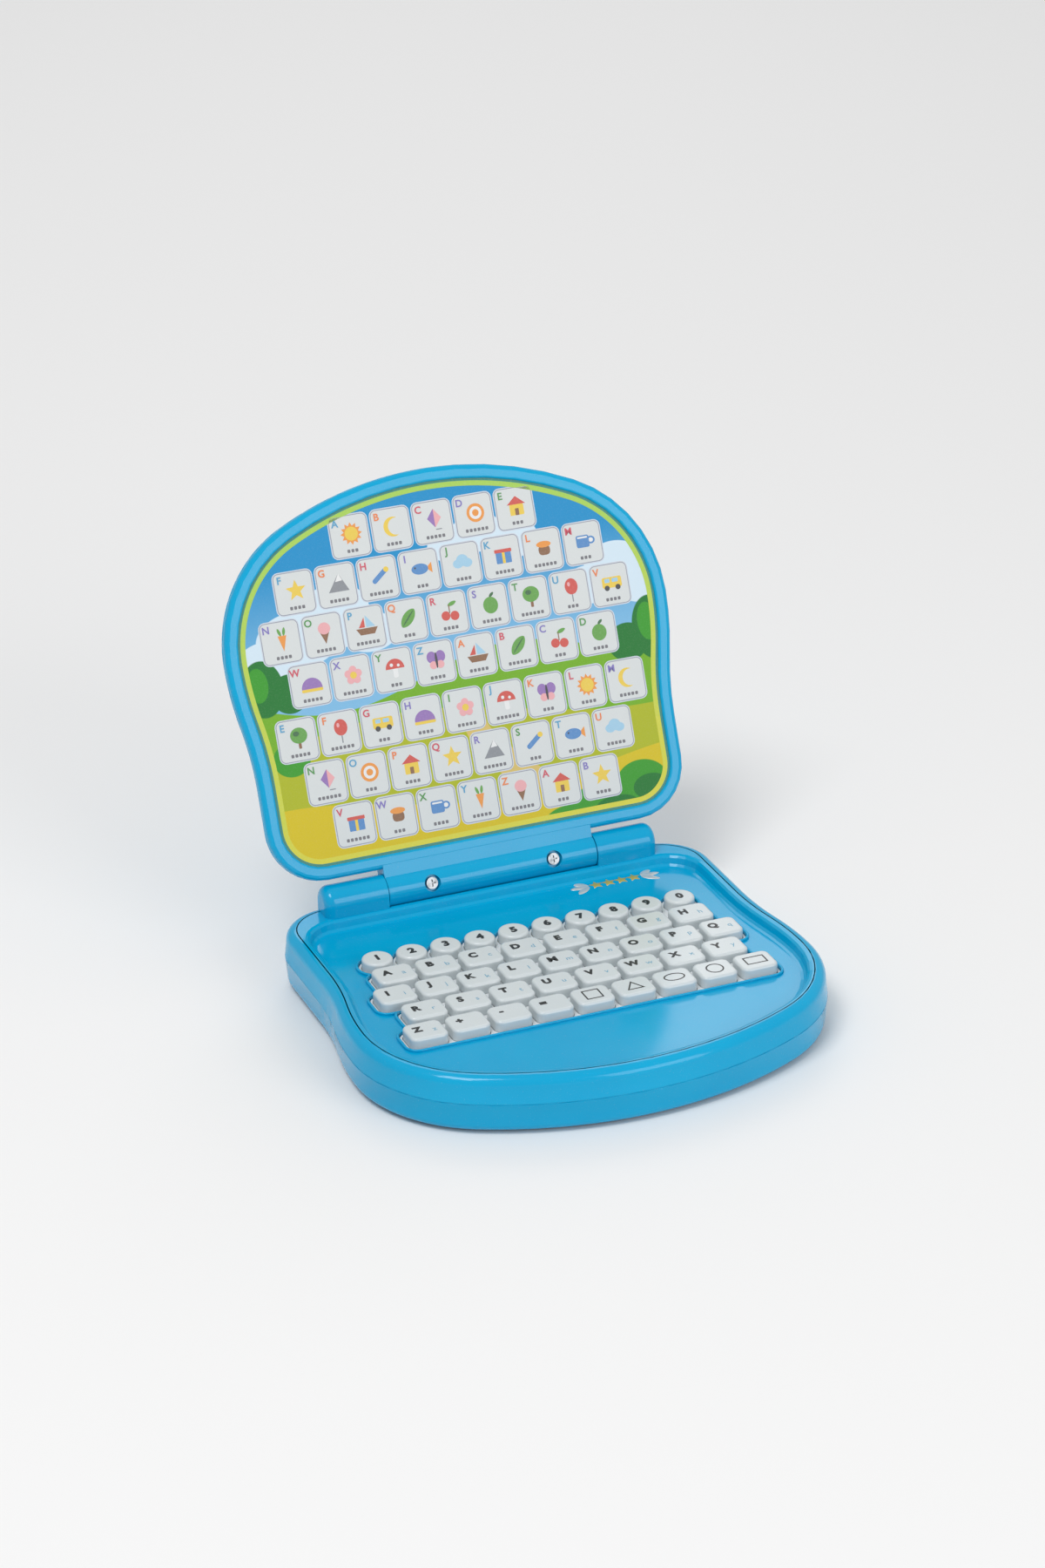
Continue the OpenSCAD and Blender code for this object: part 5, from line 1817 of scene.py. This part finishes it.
@dataclass
class KeyLegends:
    """The print on the keys: a bold sign on each, and a small pale one beside a letter."""

    key_top: float = 26.8
    bite: float = 0.05
    ink_t: float = 0.04
    ink: Colour = srgb(24, 24, 28)
    pale_ink: Colour = srgb(96, 158, 186)
    letter_size: float = 5.6
    digit_size: float = 6.2
    pale_size: float = 4.4
    weight: float = 0.03
    bold: float = 0.2
    layer_t: float = 0.003
    letter_at: tuple[float, float] = (-3.3, 1.1)
    pale_at: tuple[float, float] = (3.9, -1.3)
    stroke: float = 0.7
    square: float = 8.0
    rectangle: tuple[float, float] = (10.0, 6.6)
    outer_corner_r: float = 0.3
    inner_corner_r: float = 0.1
    circle_r: float = 4.1
    ellipse_r: tuple[float, float] = (5.0, 3.3)
    round_steps: int = 36
    triangle_r: float = 4.8
    triangle_y: float = -0.9
    signs: dict[str, str] = field(default_factory=lambda: {"plus": "+", "minus": "-", "equals": "="})

    def pane(self, w: float, h: float) -> tuple[Array, Array]:
        """The outlines of a rectangle's stroke."""
        t = 2 * self.stroke
        return rounded(0, 0, w, h, self.outer_corner_r), rounded(0, 0, w - t, h - t, self.inner_corner_r)

    def hoop(self, rx: float, ry: float) -> tuple[Array, Array]:
        """The outlines of an ellipse's stroke."""
        t, n = self.stroke, self.round_steps
        return ellipse(0, 0, rx, ry, n), ellipse(0, 0, rx - t, ry - t, n)

    def outlines(self, shape: KeyShape) -> tuple[Array, Array]:
        """A shape's outer and inner outline: the inner is drawn in by the stroke.

        The triangle is a star of three tips whose notches, at half the radius, lie on its sides.

        Args:
            shape: The shape.

        Returns:
            The two outlines, point for point.
        """
        if shape is KeyShape.SQUARE:
            return self.pane(self.square, self.square)
        if shape is KeyShape.RECTANGLE:
            return self.pane(*self.rectangle)
        if shape is KeyShape.CIRCLE:
            return self.hoop(self.circle_r, self.circle_r)
        if shape is KeyShape.ELLIPSE:
            return self.hoop(*self.ellipse_r)
        middle = (0, self.triangle_y)
        outer = star(*middle, self.triangle_r, self.triangle_r / 2, 3)
        share = 1 - 2 * self.stroke / self.triangle_r
        return outer, (outer - middle) * share + middle

    def build(self, type_case: Type, ink: bpy.types.Material, keys: Sequence[str]) -> None:
        """Prints each key in the middle of its own top.

        Args:
            type_case: The glyphs.
            ink: The printed finish.
            keys: The keys' nodes.
        """
        low, high = self.key_top - self.bite, self.key_top + self.ink_t
        for key in keys:
            word = key.removeprefix("key_")
            corner_low, corner_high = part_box(key)
            at = np.array([(corner_low[i] + corner_high[i]) / 2 / MM for i in range(2)])
            sign = word.upper() if len(word) == 1 else self.signs.get(word)
            if sign is None:
                outer, inner = self.outlines(KeyShape(word))
                patches = [ring(outer + at, inner + at, low, high, self.ink)]
            elif word.isdigit():
                patches = self.overprint(type_case, sign, self.digit_size, at)
            else:
                patches = self.overprint(type_case, sign, self.letter_size, at + self.letter_at)
                if len(word) == 1:
                    beside = at + self.pale_at
                    size, ink_colour = self.pale_size, self.pale_ink
                    patches.append(type_case.plate(word, size, 0.0, beside, low, high, ink_colour))
            make_piece(f"legend_{word}", Patch.join(patches), ink, key, Slot.KEY)

    def overprint(self, type_case: Type, sign: str, size: float, at: Array) -> list[Patch]:
        """A bold sign: the same plate five times, shifted by the bold distance four ways.

        Args:
            type_case: The glyphs.
            sign: The letter, digit or sign.
            size: The type size in millimetres.
            at: Its centre.

        Returns:
            The plates, each a layer higher than the last.
        """
        low, high = self.key_top - self.bite, self.key_top + self.ink_t
        shifts = self.bold * np.array([[0, 0], [1, 0], [-1, 0], [0, 1], [0, -1]])
        return [
            type_case.plate(sign, size, self.weight, at + shift, low, high + i * self.layer_t, self.ink)
            for i, shift in enumerate(shifts)
        ]


@dataclass
class DeckOrnament:
    """A small foil ornament behind the keys: a row of stars between two sprigs of leaves."""

    centre: tuple[float, float] = (56.0, HINGE[1] - 15.25)
    deck: float = 22.0
    rise: float = 0.35
    gold: Colour = srgb(214, 188, 92)
    silver: Colour = srgb(214, 216, 214)
    stars: int = 4
    star_pitch: float = 6.2
    star_r: float = 3.8
    notch_share: float = 0.46
    leaf_l: float = 9.4
    leaf_w: float = 3.6
    leaf_gap: float = 0.4
    leaf_turns: tuple[float, ...] = (-36.0, 0.0, 36.0)
    bite: float = 0.1
    rings: int = 3

    def build(self, foil: bpy.types.Material) -> None:
        """Sets the stars along x and three leaves fanned out at either end.

        Args:
            foil: The foil's finish.
        """
        cx, cy = self.centre
        low, tall = self.deck - self.bite, self.rise + self.bite
        xs = cx + (np.arange(self.stars) - (self.stars - 1) / 2) * self.star_pitch
        notch_r = self.notch_share * self.star_r
        shapes = [star(x, cy, self.star_r, notch_r, 5) for x in xs]
        patches = [pillow(shape, low, tall, self.gold, self.rings) for shape in shapes]
        for side in (-1, 1):
            root = cx + side * self.stars / 2 * self.star_pitch
            for turn in self.leaf_turns:
                a = math.radians(turn)
                middle = self.leaf_l / 2 + self.leaf_gap
                at = (root + side * middle * math.cos(a), cy + middle * math.sin(a))
                shape = leaf(*at, self.leaf_l, self.leaf_w, side * turn)
                patches.append(pillow(shape, low, tall, self.silver, self.rings))
        make_piece("deck_ornament", Patch.join(patches), foil, Body.BASE.value, Slot.SHELL, smooth=True)


# --- Studio --------------------------------------------------------------------------------


@dataclass(frozen=True)
class Softbox:
    """One large soft lamp that looks at the object."""

    name: str
    at: tuple[float, float, float]
    watts: float
    size: float
    aim_z: float = 0.08

    def build(self) -> None:
        """Makes the lamp and turns it towards the middle of the object."""
        lamp = bpy.data.lights.new(self.name, "AREA")
        lamp.energy, lamp.size, lamp.shape = self.watts, self.size, "SQUARE"
        holder = bpy.data.objects.new(self.name, lamp)
        back = np.array(self.at) - (0.0, 0.0, self.aim_z)
        back /= np.linalg.norm(back)
        side = np.cross((0.0, 0.0, 1.0), back)
        side /= np.linalg.norm(side)
        turned = np.column_stack([side, np.cross(back, side), back])
        matrix = np.eye(4)
        matrix[:3, :3], matrix[:3, 3] = turned, self.at
        holder.matrix_world = Matrix(matrix.tolist())
        bpy.context.scene.collection.objects.link(holder)


@dataclass
class Studio:
    """The floor, the lamps, the world and the camera."""

    camera_mm: tuple[float, float, float] = (-660.62, HINGE[1] - 1658.21, 929.63)
    azimuth_deg: float = -22.24
    elevation_deg: float = 25.58
    roll_deg: float = -0.884
    lens_mm: float = 101.04
    sensor_mm: float = 36.0
    clip_m: tuple[float, float] = (0.05, 50.0)
    floor_half_m: float = 6.0
    floor_drop_mm: float = 0.02
    floor_grey: float = 0.84
    world_strength: float = 0.53
    seen_strength: float = 0.92
    lamps: tuple[Softbox, ...] = (
        Softbox("key_lamp", (-1.1, -0.7, 2.5), 33.0, 1.1),
        Softbox("front_lamp", (0.95, -2.3, 1.05), 19.0, 1.4),
        Softbox("back_lamp", (0.7, 1.9, 1.7), 9.0, 1.2),
    )

    def build(self) -> None:
        """Sets the object on a pale floor under soft lamps and aims the camera."""
        scene = bpy.context.scene
        scene.view_settings.view_transform = "Standard"
        h, z = self.floor_half_m, -self.floor_drop_mm * MM
        mesh = bpy.data.meshes.new("floor")
        mesh.from_pydata([(-h, -h, z), (h, -h, z), (h, h, z), (-h, h, z)], [], [[0, 1, 2, 3]])
        mesh.materials.append(PaleFloor("pale_floor", (self.floor_grey,) * 3).material())
        floor = bpy.data.objects.new("floor", mesh)
        scene.collection.objects.link(floor)
        for lamp in self.lamps:
            lamp.build()
        self.light_world(scene)
        self.aim_camera(scene)

    def light_world(self, scene: bpy.types.Scene) -> None:
        """Gives an even pale sky; what the camera sees of it is nearly white.

        Args:
            scene: The scene.
        """
        world = bpy.data.worlds.new("studio_sky")
        world.use_nodes = True
        nodes, links = world.node_tree.nodes, world.node_tree.links
        nodes.clear()
        path, sky = nodes.new("ShaderNodeLightPath"), nodes.new("ShaderNodeBackground")
        seen, choose = nodes.new("ShaderNodeBackground"), nodes.new("ShaderNodeMixShader")
        out = nodes.new("ShaderNodeOutputWorld")
        sky.inputs["Strength"].default_value = self.world_strength
        sky.inputs["Color"].default_value = (1.0, 1.0, 1.0, 1.0)
        seen.inputs["Strength"].default_value = self.seen_strength
        seen.inputs["Color"].default_value = (1.0, 1.0, 1.0, 1.0)
        links.new(path.outputs["Is Camera Ray"], choose.inputs[0])
        links.new(sky.outputs[0], choose.inputs[1])
        links.new(seen.outputs[0], choose.inputs[2])
        links.new(choose.outputs[0], out.inputs[0])
        scene.world = world

    def aim_camera(self, scene: bpy.types.Scene) -> None:
        """Places the camera: its back points from the object by azimuth and elevation.

        Args:
            scene: The scene.
        """
        az, el, roll = (math.radians(v) for v in (self.azimuth_deg, self.elevation_deg, self.roll_deg))
        back = np.array([math.sin(az) * math.cos(el), -math.cos(az) * math.cos(el), math.sin(el)])
        right = np.cross((0.0, 0.0, 1.0), back)
        right /= np.linalg.norm(right)
        up = np.cross(back, right)
        matrix = np.eye(4)
        matrix[:3, 0] = right * math.cos(roll) + up * math.sin(roll)
        matrix[:3, 1] = up * math.cos(roll) - right * math.sin(roll)
        matrix[:3, 2] = back
        matrix[:3, 3] = np.array(self.camera_mm) * MM
        lens = bpy.data.cameras.new("camera")
        lens.lens = self.lens_mm
        lens.sensor_width = lens.sensor_height = self.sensor_mm
        lens.sensor_fit = "AUTO"
        lens.clip_start, lens.clip_end = self.clip_m
        holder = bpy.data.objects.new("camera", lens)
        holder.matrix_world = Matrix(matrix.tolist())
        scene.collection.objects.link(holder)
        scene.camera = holder


@dataclass
class Finishes:
    """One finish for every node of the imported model."""

    plane: LidPlane = field(default_factory=LidPlane)

    def dress(self) -> dict[str, bpy.types.Material]:
        """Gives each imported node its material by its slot.

        Returns:
            The materials by slot.
        """
        axis = (0.0, self.plane.hinge_y, self.plane.hinge_z)
        tilt = math.radians(90.0 - self.plane.lean_deg)
        finishes = {
            "shell_blue": MouldedPlastic(
                "blue_shell", srgb(0, 169, 214), srgb(0, 159, 206), roughness=0.13, film=0.06, gloss=0.32
            ),
            "plate_white": MouldedPlastic(
                "white_plate", srgb(232, 236, 238), srgb(226, 231, 234), roughness=0.3
            ),
            "key_white": MouldedPlastic(
                "white_keys", srgb(210, 216, 218), srgb(203, 211, 214), roughness=0.2
            ),
            "mat_rubber": MattRubber("silicone_mat", srgb(212, 214, 212)),
            "board_green": LacqueredBoard("lacquered_board"),
            "speaker_black": MattRubber("paper_cone", srgb(34, 34, 38)),
            "battery_sleeve": CellSleeve("cell_sleeve"),
            "contact_steel": TurnedSteel("spring_steel", (0.72, 0.72, 0.70)),
            "switch_black": MouldedPlastic(
                "black_knob", srgb(30, 30, 34), srgb(24, 24, 28), roughness=0.4
            ),
            "screw_steel": TurnedSteel("screw_steel", (0.34, 0.36, 0.38), roughness=0.34),
            "wire_red": MattRubber("red_lead", srgb(190, 34, 30)),
            "card_print": LandscapePrint("landscape", axis, tilt),
        }
        materials = {slot: finish.material() for slot, finish in finishes.items()}
        slots = {part["node"]: part["material_slot"] for part in frame["record"]["subparts"]}
        for node, piece in frame["nodes"].items():
            piece.data.materials.clear()
            piece.data.materials.append(materials[slots[node]])
            LOG.info("%s: %s", node, slots[node])
        return materials


def main() -> None:
    """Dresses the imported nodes, adds the printed and raised pieces, and sets the studio."""
    logging.basicConfig(level=logging.INFO, format="%(name)s %(message)s")
    materials = Finishes().dress()
    plastic = materials[Slot.SHELL.value]
    ink = PrintedInk("printed_ink").material()
    foil = PrintedInk("foil", roughness=0.3, metallic=0.45).material()
    type_case = Type()
    keys = [node for node in frame["nodes"] if node.startswith("key_") and node != "key_plate"]
    PictureCard().build(type_case, ink)
    LidBackSkin().build(plastic)
    LidRelief().build(plastic)
    BaseSkin().build(plastic)
    KeyboardLip().build(plastic)
    KeyLegends().build(type_case, ink, keys)
    DeckOrnament().build(foil)
    Studio().build()


if __name__ == "__main__":
    main()
